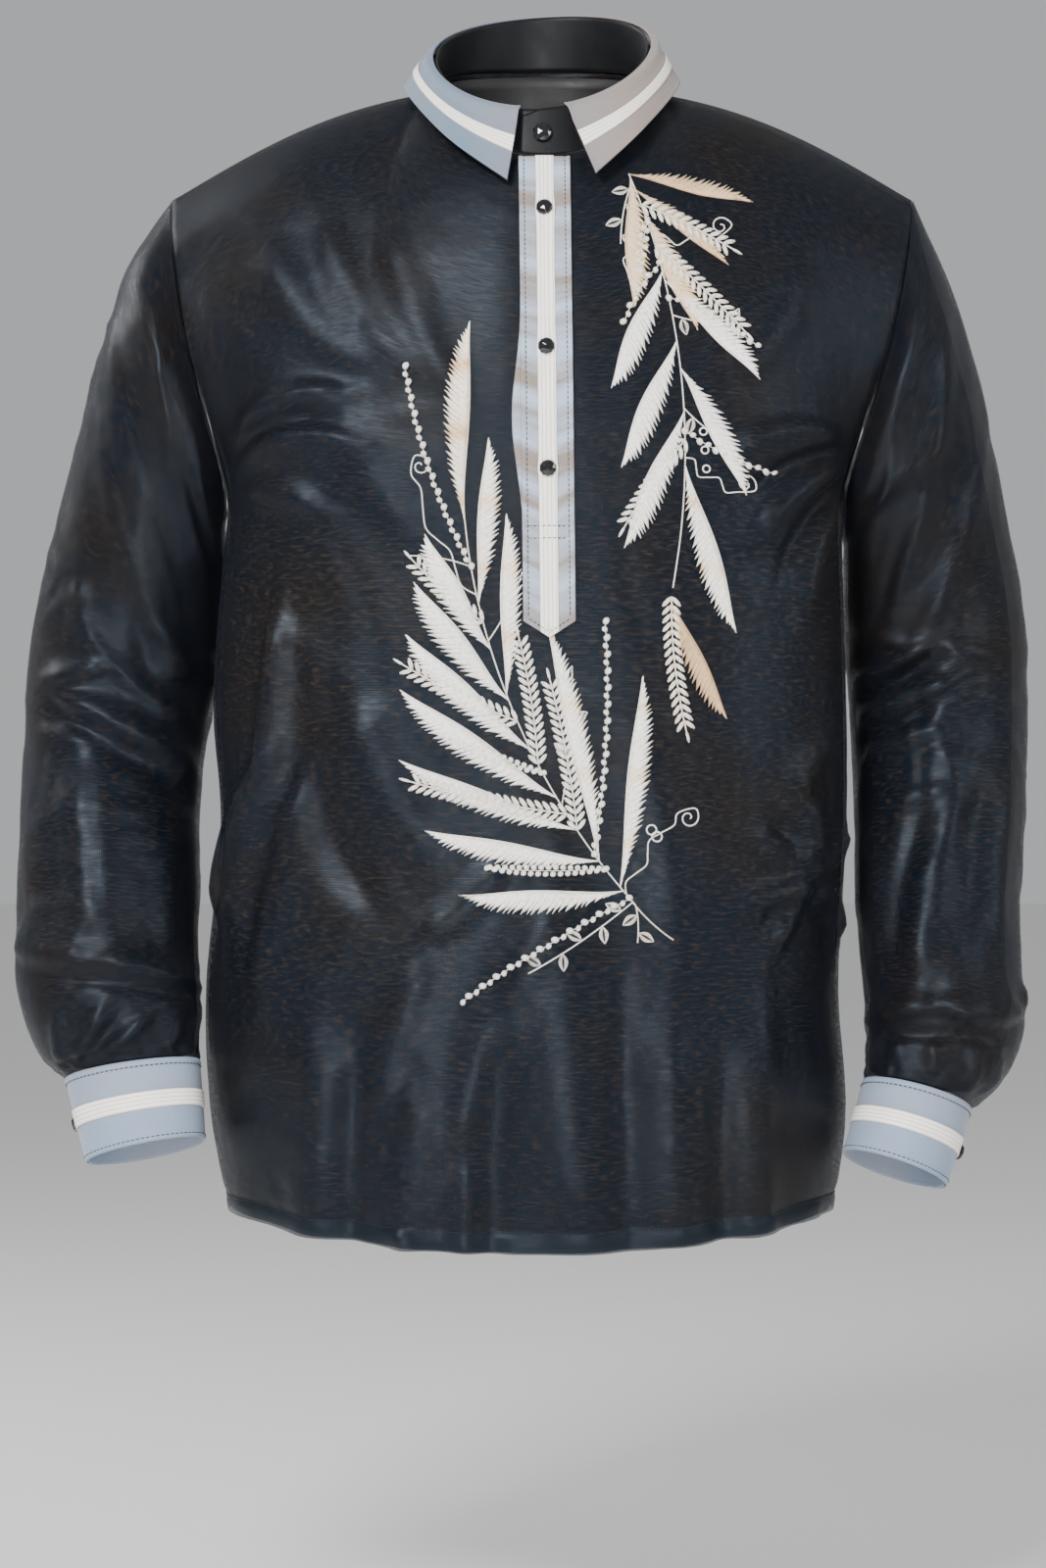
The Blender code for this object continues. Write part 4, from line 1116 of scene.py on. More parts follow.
@dataclass
class Body:
    """Front and back of the shell, and their linings."""

    cut: tuple[float, float] = (0.600, 0.800)
    hem: float = 0.022            # depth of the turned-up hem
    placket_half: float = 0.022   # cloth that the placket keeps flat
    placket_end: float = -0.375
    inset: float = 0.0065         # how far the lining hangs inside
    front: bpy.types.Object | None = None

    def creases(self, front: bool, u: Array, v: Array, base: Array) -> Array:
        """Height of the panel's creases, without its finest crumples."""
        x, z = base[..., 0], base[..., 2]
        height = creased(x, z, FRONT_CREASES if front else BACK_CREASES) * 1.8
        calm = ease((1 - np.abs(u)) * 9) * ease((1 - v) * 7)
        if front:
            calm = calm * (1 - (1 - ease((np.abs(x) - self.placket_half) / 0.03))
                           * ease((z - self.placket_end) / 0.03 + 1))
        s = u * self.cut[0] / 2
        seed = 10 if front else 40
        wide = ripple(s / 0.085 + 0.3 * z / 0.085, z / 0.15, seed) * 0.0016
        return (height + wide) * calm + crumple(s + 0.25 * z, z, 0.040, seed + 3) * 0.0006 * calm

    def shell(self, front: bool) -> Place:
        """Points of the outer cloth."""
        def place(across: Array, up: Array) -> Array:
            """Points for shares across and up."""
            u = 2 * across - 1 if front else 1 - 2 * across
            base = body_form(front, u, up)
            s, h = u * self.cut[0] / 2, up * self.cut[1]
            seed = 20 if front else 50
            calm = ease((1 - np.abs(u)) * 12) * ease((1 - up) * 9)
            fine = crumple(s, h + 0.3 * s, 0.017, seed) * 0.00026
            band = np.exp(-((h - self.hem) / 0.006) ** 2)
            pucker = ripple(s / 0.0065, h / 0.012, seed + 5) * 0.00045 * band - 0.0011 * band
            tucks = 1 - ease((h - self.hem + 0.003) / 0.004)
            tuck = ripple(s / 0.021 + h * 8, h * 0 + 0.4, seed + 9)
            step = (0.0008 + tuck * np.abs(tuck) * 0.0052) * tucks * ease((1 - np.abs(u)) * 9)
            at_side = np.exp(-((1 - np.abs(u)) * 0.3 / 0.006) ** 2)
            seam = at_side * ripple(s * 0, h / 0.011, seed + 6) * 0.0004
            wave = ripple(s / 0.05, h * 0 + 0.5, seed + 8) * 0.0022 * (1 - ease(h / 0.10))
            height = self.creases(front, u, up, base) + fine * calm + pucker + step + seam + wave * calm
            points = raised(base, height)
            apart = 0.00015 + 0.0003 * ease((up - ARMPIT_SHARE) / (1 - ARMPIT_SHARE))
            points[..., 1] += -apart if front else apart
            return points
        return place

    def inside(self, front: bool) -> Place:
        """Points of the lining, whose front laps under its back at the side seams."""
        def place(across: Array, up: Array) -> Array:
            """Points for shares across and up."""
            u = 2 * across - 1 if front else 1 - 2 * across
            v = 0.0012 + 0.9938 * up
            base = body_form(front, u, v)
            deeper = 0 if front else 0.007 * ease((v - ARMPIT_SHARE) * 4)
            free = ease((1 - np.abs(u)) * 8) * ease((1 - v) * 10) * (0.25 + 0.75 * ease(v * 14))
            height = self.creases(front, u, v, base) - 0.0017 - (self.inset + deeper - 0.0017) * free
            if not front:
                return raised(base, height) + np.array((0, 0.0003, 0))
            lap = np.exp(-((1 - np.abs(u)) / 0.04) ** 2) * ease((ARMPIT_SHARE - v) * 12)
            points = raised(base, height - 0.0009 * lap)
            points[..., 1] += 0.0030 * lap - 0.0003
            return points
        return place

    def build(self, wardrobe: Wardrobe) -> None:
        """Makes and dresses the four panels."""
        for front, word, columns, rows in ((True, "front", 168, 212), (False, "back", 110, 140)):
            shell = sheet_of_cloth(word + "_cloth", columns, rows, self.shell(front), self.cut,
                                   ORGANZA_WALL, slit=0.53 if front else 0)
            mark(shell, "hem", lambda chart: 1 - ease((chart[:, 1] - self.hem) / 0.0015))
            finish(shell, wardrobe.organza, ("body_" + word,))
            lining = sheet_of_cloth(word + "_lining", 64, 84, self.inside(front), (0.590, 0.785),
                                    LINING_WALL)
            finish(lining, wardrobe.lining, ("lining_" + word,))
            seam = Topstitch("topstitch_hem_" + word)
            level = self.hem / self.cut[1] + np.array((-1, 0, 1)) * 0.001
            across, up = np.meshgrid(np.linspace(0.004, 0.996, 700), level)
            lift = np.full_like(up, ORGANZA_WALL / 2 + STITCH_LIFT)
            seam.row(raised(self.shell(front)(across, up), lift)[1])
            seam.build(wardrobe.black_thread, "organza")
            if front:
                self.front = shell


@dataclass
class Sleeve:
    """One long sleeve, bloused over its cuff, and its lining."""

    side: Side
    girth: float = 0.390
    length: float = 0.660
    inset: float = 0.0075     # how far the lining lies inside

    def creases(self, around: Array, along: Array) -> Array:
        """Height of the sleeve's creases, without its finest crumples."""
        share = around % 1.0
        table = SLEEVE_CREASES[self.side]
        height = sum(creased((share + turn) * self.girth, along * self.length, table,
                             (self.girth, self.length)) for turn in (-1, 0, 1))
        height = height * (1 - 0.55 * np.cos(share * 2 * math.pi) ** 4)
        seed = 70 if self.side is Side.LEFT else 90
        wide = ripple(share * 6, along * 6, seed, 6) * 0.0016
        mid = crumple(share * self.girth, along * self.length, 0.0325, seed + 4, self.girth) * 0.0012
        return (height + wide + mid) * ease(along * 9) * ease((1 - along) * 12)

    def shell(self, across: Array, up: Array) -> Array:
        """Points of the outer cloth."""
        around, along = -self.side.value * across, 1 - up
        base = sleeve_form(self.side, around, along)
        share = around % 1.0
        seed = 75 if self.side is Side.LEFT else 95
        fine = crumple(share * self.girth, along * self.length, 0.0195, seed, self.girth) * 0.0004
        gather = ripple(share * 44, along * 5, seed + 3, 44) * 0.0016
        gather = gather * ease((along - 0.90) / 0.05) * (0.25 + 0.75 * ease((1 - along) * 40))
        ease_in = ripple(share * 60, along * 30, seed + 4, 60) * 0.0005 * (1 - ease(along / 0.04))
        height = self.creases(around, along) + fine * ease(along * 12) + gather + ease_in
        return wrapped(base, height)

    def inside(self, across: Array, up: Array) -> Array:
        """Points of the lining."""
        around, along = -self.side.value * across, 0.955 - 0.950 * up
        base = sleeve_form(self.side, around, along)
        outer = 0.5 + 0.5 * np.cos(around * 2 * math.pi)
        wide = self.inset if self.side is Side.LEFT else self.inset * 0.3
        inset = 0.0017 + (0.0016 + wide * outer) * ease(along * 9) * (1 - 0.3 * ease((along - 0.8) * 6))
        return wrapped(base, self.creases(around, along) - inset)

    def build(self, wardrobe: Wardrobe) -> None:
        """Makes and dresses the sleeve and its lining."""
        word = self.side.word
        shell = sheet_of_cloth("sleeve_cloth_" + word, 112, 190, self.shell, (self.girth, self.length),
                               ORGANZA_WALL, closed=True)
        finish(shell, wardrobe.organza, ("sleeve_" + word,))
        lining = sheet_of_cloth("sleeve_lining_piece_" + word, 48, 80, self.inside,
                                (self.girth, self.length), LINING_WALL, closed=True)
        finish(lining, wardrobe.lining, ("lining_sleeve_" + word,))


# ------------------------------------------------------------------ small repeated things

def stitch_shape() -> tuple[Array, list[tuple[int, ...]]]:
    """One stitch lying along x: a small rounded spindle, as points and faces."""
    bm = bmesh.new()
    bmesh.ops.create_uvsphere(bm, u_segments=6, v_segments=5, radius=1.0)
    points = np.array([vert.co[:] for vert in bm.verts])[:, [2, 0, 1]]
    faces = [tuple(vert.index for vert in face.verts) for face in bm.faces]
    bm.free()
    return points, faces


def joined(name: str, points: Array, faces: list[tuple[int, ...]]) -> bpy.types.Object:
    """One object from many small shapes' points and faces."""
    mesh = bpy.data.meshes.new(name)
    mesh.from_pydata(points.tolist(), [], faces)
    mesh.shade_smooth()
    piece = bpy.data.objects.new(name, mesh)
    bpy.context.scene.collection.objects.link(piece)
    return piece


@dataclass
class Topstitch:
    """Rows of machine stitches, joined to one piece."""

    name: str
    length: float = 2.7 * MM
    gap: float = 0.7 * MM
    radius: float = 0.38 * MM     # thicker than real thread, to show
    points: list[Array] = field(default_factory=list)
    faces: list[tuple[int, ...]] = field(default_factory=list)

    def row(self, path: Array) -> None:
        """Adds stitches along a path of close points that lies on the cloth."""
        lengths = np.concatenate(((0,), np.cumsum(np.linalg.norm(np.diff(path, axis=0), axis=1))))
        pitch = self.length + self.gap
        starts = np.arange(0, lengths[-1] - self.length, pitch)

        def at(s: Array) -> Array:
            """Points of the path at distances along it."""
            return np.stack([np.interp(s, lengths, path[:, k]) for k in range(3)], axis=-1)

        shape, faces = stitch_shape()
        first, last = at(starts), at(starts + self.length)
        way = (last - first) / 2
        side = unit(np.cross(way, np.array((0.0, 0.0, 1.0)) + unit(way)[..., [1, 2, 0]] * 0.01))
        third = unit(np.cross(way, side))
        for middle, a, b, c in zip((first + last) / 2, way, side, third):
            count = sum(len(p) for p in self.points)
            self.faces += [tuple(k + count for k in face) for face in faces]
            turned = shape[:, :1] * a + (shape[:, 1:2] * b + shape[:, 2:] * c) * self.radius
            self.points.append(middle + turned)

    def build(self, material: bpy.types.Material, slot: str) -> bpy.types.Object:
        """Makes and dresses the piece."""
        piece = joined(self.name, np.concatenate(self.points), self.faces)
        return finish(piece, material)


@dataclass
class FacetedButton:
    """A domed button, ground into facets like a bead."""

    name: str
    node: str
    radius: float = 5.7 * MM
    height: float = 3.4 * MM

    def build(self, place: Vector, out: Vector, wardrobe: Wardrobe) -> bpy.types.Object:
        """Makes the button on place, facing out, and dresses it."""
        bm = bmesh.new()
        bmesh.ops.create_icosphere(bm, subdivisions=2, radius=self.radius)
        low = -self.radius * 0.30
        geom = bm.verts[:] + bm.edges[:] + bm.faces[:]
        bmesh.ops.bisect_plane(bm, geom=geom, plane_co=(0, 0, low), plane_no=(0, 0, 1), clear_inner=True)
        rim = [edge for edge in bm.edges if edge.is_boundary]
        bmesh.ops.contextual_create(bm, geom=rim)
        bmesh.ops.bevel(bm, geom=bm.edges[:], offset=0.10 * MM, offset_type="OFFSET", segments=1,
                        profile=0.5, affect="EDGES", material=-1)
        squash = self.height / (self.radius - low)
        for vert in bm.verts:
            vert.co.z = (vert.co.z - low) * squash
        turn = out.to_track_quat("Z", "Y")
        for vert in bm.verts:
            vert.co = turn @ vert.co + place
        bmesh.ops.recalc_face_normals(bm, faces=bm.faces)
        piece = made(self.name, bm, smooth=False)
        return finish(piece, wardrobe.button, (self.node,))


# ------------------------------------------------------------------ collar and cuffs

@dataclass
class Collar:
    """Stand, fall, under-collar and the ribbon along the fall."""

    length: float = 0.440
    depth: float = 0.050
    ribbon: tuple[float, float] = (0.40, 0.62)    # shares of the fall's depth

    def fall(self, across: Array, up: Array) -> Array:
        """Points of the fall, with a turned edge that stands a little proud."""
        down = 1 - up
        ends = np.minimum(across, 1 - across) * self.length
        edge = np.exp(-((down - 0.965) * self.depth / 0.0016) ** 2)
        side = np.exp(-((ends - 0.0016) / 0.0016) ** 2)
        soft = ripple(across * 14, down * 2.0, 120) * 0.0005 * ease(down * 2)
        return raised(fall_form(across, down), np.maximum(edge, side) * 0.0004 + soft, front=False)

    def under(self, across: Array, up: Array) -> Array:
        """Points of the black under-collar."""
        return fall_form(across, 1 - up * 2 / 3, -1.75 * MM)

    def trim(self, across: Array, up: Array) -> Array:
        """Points of the ribbon, across its width and up its length."""
        low, high = self.ribbon
        down = low + (high - low) * across
        soft = ripple(up * 14, down * 2.0, 120) * 0.0005 * ease(down * 2)
        base = raised(fall_form(up, down), soft, front=False)
        edge = (1 - ease((0.5 - np.abs(across - 0.5)) * 12)) * 0.00025
        return raised(base, TRIM_WALL / 2 + RIBBON_WALL / 2 + 0.0002 - edge, front=False)

    def build(self, wardrobe: Wardrobe) -> None:
        """Makes and dresses the four pieces."""
        stand = sheet_of_cloth("stand_cloth", 170, 14, stand_form, (0.470, 0.036), TRIM_WALL)
        finish(stand, wardrobe.satin, ("collar_stand",))
        fall = sheet_of_cloth("fall_cloth", 260, 40, self.fall, (self.length, self.depth), TRIM_WALL)
        finish(fall, wardrobe.shot, ("collar_fall",))
        under = sheet_of_cloth("undercollar_cloth", 170, 16, self.under, (self.length, 0.034), 0.0006)
        finish(under, wardrobe.satin, ("collar_under",))
        trim = sheet_of_cloth("collar_trim", 10, 240, self.trim, (0.0115, self.length), RIBBON_WALL)
        finish(trim, wardrobe.ribbon, ("collar_ribbon",))

    def button(self, wardrobe: Wardrobe) -> None:
        """Buttons the stand at the centre front."""
        tab = np.array([1 - STAND_LAP / (360 + 2 * STAND_LAP)])
        low, high = stand_form(tab, np.array([0.0]))[0], stand_form(tab, np.array([1.0]))[0]
        out = unit(np.cross((1, 0, 0), high - low))
        place = low + (high - low) * 0.46 + out * (TRIM_WALL / 2 + BUTTON_GAP)
        FacetedButton("button_domed_collar", "button_collar", 6.6 * MM, 4.0 * MM).build(
            Vector(place), Vector(out), wardrobe)


@dataclass
class Cuff:
    """One barrel cuff with its ribbon, button and topstitch."""

    side: Side
    ribbon: tuple[float, float] = (0.39, 0.60)
    ribbon_end: float = 19 / 22     # share of the way round where the ribbon stops
    length: float = 0.255
    depth: float = 0.056

    def soft(self, around: Array, down: Array) -> Array:
        """Slight buckles of the stiffened cloth."""
        return ripple(around * 9, down * 1.5, 130 + self.side.value) * 0.0006

    def shell(self, across: Array, up: Array) -> Array:
        """Points of the cuff, with a stitched upper edge and a soft lower edge."""
        down = 1 - up
        rim = np.exp(-((down - 0.035) * self.depth / 0.0014) ** 2)
        rim += np.exp(-((down - 0.97) * self.depth / 0.0014) ** 2)
        groove = np.exp(-((down - 0.075) * self.depth / 0.0007) ** 2) * 0.0004
        return cuff_form(self.side, across, down, self.soft(across, down) + rim * 0.0004 - groove)

    def trim(self, across: Array, up: Array) -> Array:
        """Points of the ribbon, across its width and up its length, ridged at its folded ends."""
        around = up * self.ribbon_end
        low, high = self.ribbon
        down = low + (high - low) * across
        end = np.minimum(up, 1 - up) * self.length
        ridge = np.exp(-((end % 0.003 - 0.0015) / 0.0007) ** 2) * 0.0003 * (end < 0.009)
        lift = self.soft(around, down) + TRIM_WALL / 2 + RIBBON_WALL / 2 + 0.0002 + ridge
        return cuff_form(self.side, around, down, lift)

    def build(self, wardrobe: Wardrobe) -> None:
        """Makes and dresses the cuff."""
        word = self.side.word
        cuff = sheet_of_cloth("cuff_cloth_" + word, 150, 26, self.shell, (self.length, self.depth),
                              TRIM_WALL)
        finish(cuff, wardrobe.chambray, ("cuff_" + word,))
        trim = sheet_of_cloth("cuff_trim_" + word, 8, 160, self.trim, (0.0115, self.length),
                              RIBBON_WALL)
        finish(trim, wardrobe.ribbon, ("cuff_ribbon_" + word,))
        for at, name in ((0.075, "upper"), (0.945, "lower")):
            seam = Topstitch(f"topstitch_cuff_{word}_{name}")
            around = np.linspace(0.01, 0.99, 400)
            down = np.full_like(around, at)
            lift = self.soft(around, down) + TRIM_WALL / 2 + STITCH_LIFT
            seam.row(cuff_form(self.side, around, down, lift))
            seam.build(wardrobe.dark_thread, "grey_cloth")
        one = np.array([0.045])
        middle = cuff_form(self.side, one, one * 0 + 0.5)[0]
        out = unit(cuff_form(self.side, one, one * 0 + 0.5, 0.02)[0] - middle)
        place = middle + out * (TRIM_WALL + RIBBON_WALL + 0.0011)
        FacetedButton("button_domed_cuff_" + word, "button_cuff_" + word).build(
            Vector(place), Vector(out), wardrobe)


# ------------------------------------------------------------------ placket

@dataclass
class Placket:
    """Half placket: under strip, pointed upper strip, ribbon, stitches and three buttons."""

    front: BVHTree
    width: float = 0.034
    under_width: float = 0.031
    ribbon: float = 0.0122
    top: float = -0.0378
    end: float = -0.3600
    point: float = 0.011
    buttons: tuple[float, ...] = (-0.0745, -0.1680, -0.2485)
    stitch_in: float = 0.0034     # topstitch inside each edge
    bars: tuple[float, float] = (-0.2865, -0.2945)    # two rows across above the point

    def middle(self, z: Array) -> Array:
        """Centre line, which leans a little to the wearer's left going down."""
        return 0.0012 + 0.0033 * (z - self.top) / (self.end - self.top)

    def pucker(self, x: Array, z: Array) -> Array:
        """Small pulls that radiate from each button."""
        height = np.zeros_like(x)
        for at in self.buttons:
            dx, dz = x - self.middle(at), z - at
            far = np.hypot(dx, dz)
            rays = np.cos(5 * np.arctan2(dz, dx) + at * 200)
            height += rays * np.exp(-((far - 0.011) / 0.008) ** 2) * 0.0005
        return height + ripple(x / 0.012, z / 0.009, 140) * 0.0003

    def strip(self, width: float, lift: Callable[[Array, Array], Array]) -> Place:
        """Points of a pointed strip whose lift above the front is given."""
        def place(across: Array, up: Array) -> Array:
            """Points for shares across and up."""
            aside = 2 * across - 1
            low = self.end + self.point * np.abs(aside) * width / self.width
            z = low + (self.top - low) * up
            swell = sum(np.exp(-((z - at) / 0.006) ** 2) for at in self.buttons)
            x = self.middle(z) + aside * width / 2 * (1 + 0.10 * swell * (width < 0.02))
            points, _ = cast([self.front], x, z)
            points = self.even(points)
            return raised(points, lift(x, z) + self.pucker(x, z))
        return place

    @staticmethod
    def even(points: Array) -> Array:
        """Points with the small steps of the cloth's facets smoothed away."""
        y = points[..., 1].copy()
        for _ in range(6):
            inner = y.copy()
            inner[1:-1] = (y[:-2] + 2 * y[1:-1] + y[2:]) / 4
            y = inner
        points[..., 1] = y
        return points

    def under(self, across: Array, up: Array) -> Array:
        """Points of the under strip, whose free edge bows out between two buttons."""
        z = self.end + 0.014 + (self.top - self.end - 0.014) * up
        bow = 0.0078 * np.exp(-((z + 0.215) / 0.050) ** 2) + 0.0012 * np.exp(-((z + 0.12) / 0.03) ** 2)
        x = self.middle(z) + (across - 0.5) * self.under_width - bow
        points = self.even(cast([self.front], x, z)[0])
        return raised(points, 0.0010 + ripple(x / 0.02, z / 0.02, 141) * 0.0003)

    def edge_lift(self, x: Array, z: Array) -> Array:
        """Lift of the upper strip: rounded like piping at its edges, drawn in at its stitches."""
        aside = self.width / 2 - np.abs(x - self.middle(z))
        bottom = self.end + self.point * np.abs(x - self.middle(z)) / (self.width / 2)
        inside = np.minimum(aside, (z - bottom) * 0.95)
        roll = np.exp(-((inside - 0.0011) / 0.0010) ** 2) * 0.0006
        groove = np.exp(-((inside - self.stitch_in) / 0.0007) ** 2) * 0.0004
        for at in self.bars:
            groove += np.exp(-((z - at) / 0.0007) ** 2) * 0.0003
        return 0.0022 + roll - groove

    def ribbon_lift(self, x: Array, z: Array) -> Array:
        """Lift of the ribbon, which swells slightly round the buttons."""
        swell = sum(np.exp(-((z - at) / 0.007) ** 2) for at in self.buttons) * 0.0004
        return 0.0022 + TRIM_WALL / 2 + RIBBON_WALL / 2 + 0.0002 + swell

    def sew(self, wardrobe: Wardrobe) -> None:
        """Topstitch inside both edges, round the point and twice across."""
        seam = Topstitch("topstitch_placket")
        z = np.linspace(self.top - 0.002, self.end + self.point + 0.002, 240)
        aside = self.width / 2 - self.stitch_in
        corner = self.end + self.point * aside / (self.width / 2) + self.stitch_in
        down = z[z > corner]
        paths = [(self.middle(down) + side * aside, down) for side in (-1, 1)]
        t = np.linspace(-1, 1, 60)
        tip = self.end + self.stitch_in * 1.05 + self.point * np.abs(t) * aside / (self.width / 2)
        paths.append((self.middle(tip) + t * aside, tip))
        for at in self.bars:
            t = np.linspace(-1, 1, 50)
            paths.append((self.middle(np.full(50, at)) + t * aside, np.full(50, at)))
        for x, height in paths:
            points, normals = cast([self.front], x, height)
            lift = self.edge_lift(x, height) + self.pucker(x, height) + TRIM_WALL / 2
            over = np.abs(x - self.middle(height)) < self.ribbon / 2 + 0.0004
            lift = lift + np.where(over, RIBBON_WALL + 0.0005, 0.0)
            seam.row(points + normals * column(lift))
        seam.build(wardrobe.dark_thread, "grey_cloth")

    def build(self, wardrobe: Wardrobe) -> None:
        """Makes and dresses the placket with its buttons."""
        length = self.top - self.end
        under = sheet_of_cloth("placket_strip_under", 14, 180, self.under,
                               (self.under_width, length), TRIM_WALL)
        finish(under, wardrobe.banded, ("placket_under",))
        upper = sheet_of_cloth("placket_strip_upper", 48, 260, self.strip(self.width, self.edge_lift),
                               (self.width, length), 0.0007)
        finish(upper, wardrobe.banded, ("placket_upper",))
        trim = sheet_of_cloth("placket_trim", 12, 260, self.strip(self.ribbon, self.ribbon_lift),
                              (self.ribbon, length), RIBBON_WALL)
        finish(trim, wardrobe.ribbon, ("placket_ribbon",))
        self.sew(wardrobe)
        for number, z in enumerate(self.buttons, 1):
            x = float(self.middle(z))
            point, normal = cast([self.front], np.array([x]), np.array([z]))
            out = unit(normal[0] + np.array((0, -0.2, 0)))
            place = point[0] + out * (self.ribbon_lift(x, z) + RIBBON_WALL / 2 + BUTTON_GAP)
            FacetedButton(f"button_domed_placket_{number}", f"button_placket_{number}").build(
                Vector(place), Vector(out), wardrobe)


# ------------------------------------------------------------------ needlework

class Blade(NamedTuple):
    """Satin-stitched blade: path from base to tip and width in millimetres, teeth on one side."""

    path: tuple[tuple[float, float], ...]
    width: float
    shade: float
    teeth: int = 1        # 1 puts them at the left of the path's own way, -1 at the right
    bands: bool = False   # crossed by bands of a warmer dye


class Spike(NamedTuple):
    """Ear of grain on a path in millimetres."""

    path: tuple[tuple[float, float], ...]
    shade: float = 0.15


class Chain(NamedTuple):
    """Beads of satin stitch along a path in millimetres; double chains hang like grapes."""

    path: tuple[tuple[float, float], ...]
    shade: float = 0.1
    double: bool = False


class Vine(NamedTuple):
    """Twisted couched cord along a path in millimetres, with leaves if asked."""

    path: tuple[tuple[float, float], ...]
    shade: float = 0.1
    leaves: int = 0


class Ring(NamedTuple):
    """Small worked eyelet, in millimetres."""

    x: float
    z: float
    radius: float


SWAY = 3.5            # mm by which a tendril sways to each side
CURL = 7.5            # mm, radius of the curl at its end


Motif = Enum("Motif", "BLADE EAR BEADS GRAPES TENDRIL SPRIG EYELET")


class Shoot(NamedTuple):
    """One motif on a stem: where it starts, how it is turned to the left, and its reach in mm."""

    kind: Motif
    at: float             # share of the way along the stem
    turn: float           # degrees to the left of the stem's own way
    reach: float
    bow: float = 0.0      # how far its tip swings to the left, in mm
    width: float = 0.0    # of a blade, or radius of an eyelet, in mm
    shade: float = 0.1
    leaves: int = 0
    bands: bool = False


class Stem(NamedTuple):
    """An arc that motifs grow from, in millimetres: start, heading in degrees, length, swing."""

    x: float
    z: float
    heading: float
    length: float
    swing: float          # degrees by which the heading turns from start to end


def spread(kind: Motif, count: int, at: tuple[float, float], turn: tuple[float, float],
           reach: tuple[float, float], bow: float = 0.0, width: float = 0.0, shade: float = 0.1,
           bands: bool = False) -> list[Shoot]:
    """Like motifs at even steps along a stem, each measure running from its first value to its last."""
    steps = np.linspace(0, 1, count)
    return [Shoot(kind, *(float(np.interp(s, (0, 1), pair)) for pair in (at, turn, reach)),
                  bow, width, shade, 0, bands) for s in steps]


HANGING = Stem(57, -47, -68, 300, -34)
RISING = Stem(62, -537, 132, 315, -40)
# Columns of a shoot: kind, at, turn, reach, bow, width, shade, leaves, bands
CHEST_SHOOTS = [
    Shoot(Motif.SPRIG, 0.02, -42, 44, 8, 0, 0.2, 4),
    Shoot(Motif.TENDRIL, 0.10, -52, 40, 12, 0, 0.2),
    Shoot(Motif.TENDRIL, 0.16, 66, 44, 8, 0, 0.2),
    Shoot(Motif.TENDRIL, 0.66, 44, 40, 10, 0, 0.2),
    Shoot(Motif.SPRIG, 0.34, 62, 46, 10, 0, 0.15, 4),
    Shoot(Motif.SPRIG, 0.55, 40, 44, 8, 0, 0.15, 3),
    *spread(Motif.BLADE, 2, (0.00, 0.04), (62, 36), (84, 78), -8, 11, 0.75),
    *spread(Motif.BLADE, 2, (0.01, 0.10), (-14, 12), (88, 84), -10, 16, 0.65),
    *spread(Motif.BLADE, 3, (0.24, 0.56), (-32, -22), (84, 96), -8, 17, 0.03),
    *spread(Motif.BLADE, 2, (0.26, 0.46), (40, 30), (88, 92), -14, 15, 0.05),
    Shoot(Motif.BLADE, 0.68, 12, 112, 12, 17, 0.08, 0, True),
    Shoot(Motif.BLADE, 0.98, 30, 84, 10, 13, 0.85),
    *spread(Motif.EAR, 2, (0.08, 0.18), (50, 34), (70, 86), -6, 0, 0.2),
    Shoot(Motif.EAR, 0.62, -40, 74, 6, 0, 0.1),
    Shoot(Motif.EAR, 0.97, 10, 92, 12, 0, 0.3),
    Shoot(Motif.GRAPES, 0.12, -34, 34, 4, 0, 0.3),
    Shoot(Motif.BEADS, 0.22, -58, 46, 10, 0, 0.2),
    Shoot(Motif.BEADS, 0.30, 60, 66, -12, 0, 0.2),
    Shoot(Motif.BEADS, 0.60, 52, 64, 14, 0, 0.15),
    *spread(Motif.EYELET, 3, (0.60, 0.68), (86, 86), (12, 14), 0, 2.4),
]
WAIST_SHOOTS = [
    Shoot(Motif.SPRIG, 0.01, 88, 82, -8, 0, 0.15, 5),
    Shoot(Motif.SPRIG, 0.01, 176, 36, 6, 0, 0.4),
    Shoot(Motif.SPRIG, 0.00, 150, 24, -4, 0, 0.3, 2),
    Shoot(Motif.TENDRIL, 0.03, -62, 62, -12, 0, 0.15),
    Shoot(Motif.TENDRIL, 0.74, 30, 88, -22, 0, 0.1),
    Shoot(Motif.SPRIG, 0.26, -42, 92, 10, 0, 0.15, 4),
    *spread(Motif.SPRIG, 2, (0.64, 0.80), (-52, 58), (50, 40), 8, 0, 0.1),
    *spread(Motif.BLADE, 3, (0.04, 0.20), (62, 44), (104, 122), -20, 15, 0.08),
    *spread(Motif.BLADE, 4, (0.28, 0.62), (34, 26), (122, 84), -20, 19, 0.02),
    *spread(Motif.BLADE, 2, (0.05, 0.12), (-52, -30), (138, 158), 14, 14, 0.05, True),
    *spread(Motif.BLADE, 2, (0.52, 0.72), (-26, -22), (118, 108), 10, 14, 0.08, True),
    Shoot(Motif.BLADE, 0.90, 4, 128, -26, 17, 0.30, 0, True),
    *spread(Motif.EAR, 2, (0.20, 0.36), (-28, -24), (104, 88), 8, 0, 0.12),
    *spread(Motif.EAR, 3, (0.24, 0.68), (50, 40), (108, 66), -8, 0, 0.15),
    Shoot(Motif.BEADS, 0.14, -46, 152, 18, 0, 0.1),
    Shoot(Motif.BEADS, 0.80, 18, 138, -24, 0, 0.15),
    Shoot(Motif.BEADS, 0.02, 76, 128, 10, 0, 0.1),
    *spread(Motif.GRAPES, 2, (0.10, 0.34), (56, 46), (76, 70), -6),
    *spread(Motif.EYELET, 2, (0.10, 0.12), (-96, -96), (40, 40), 0, 3.2),
]


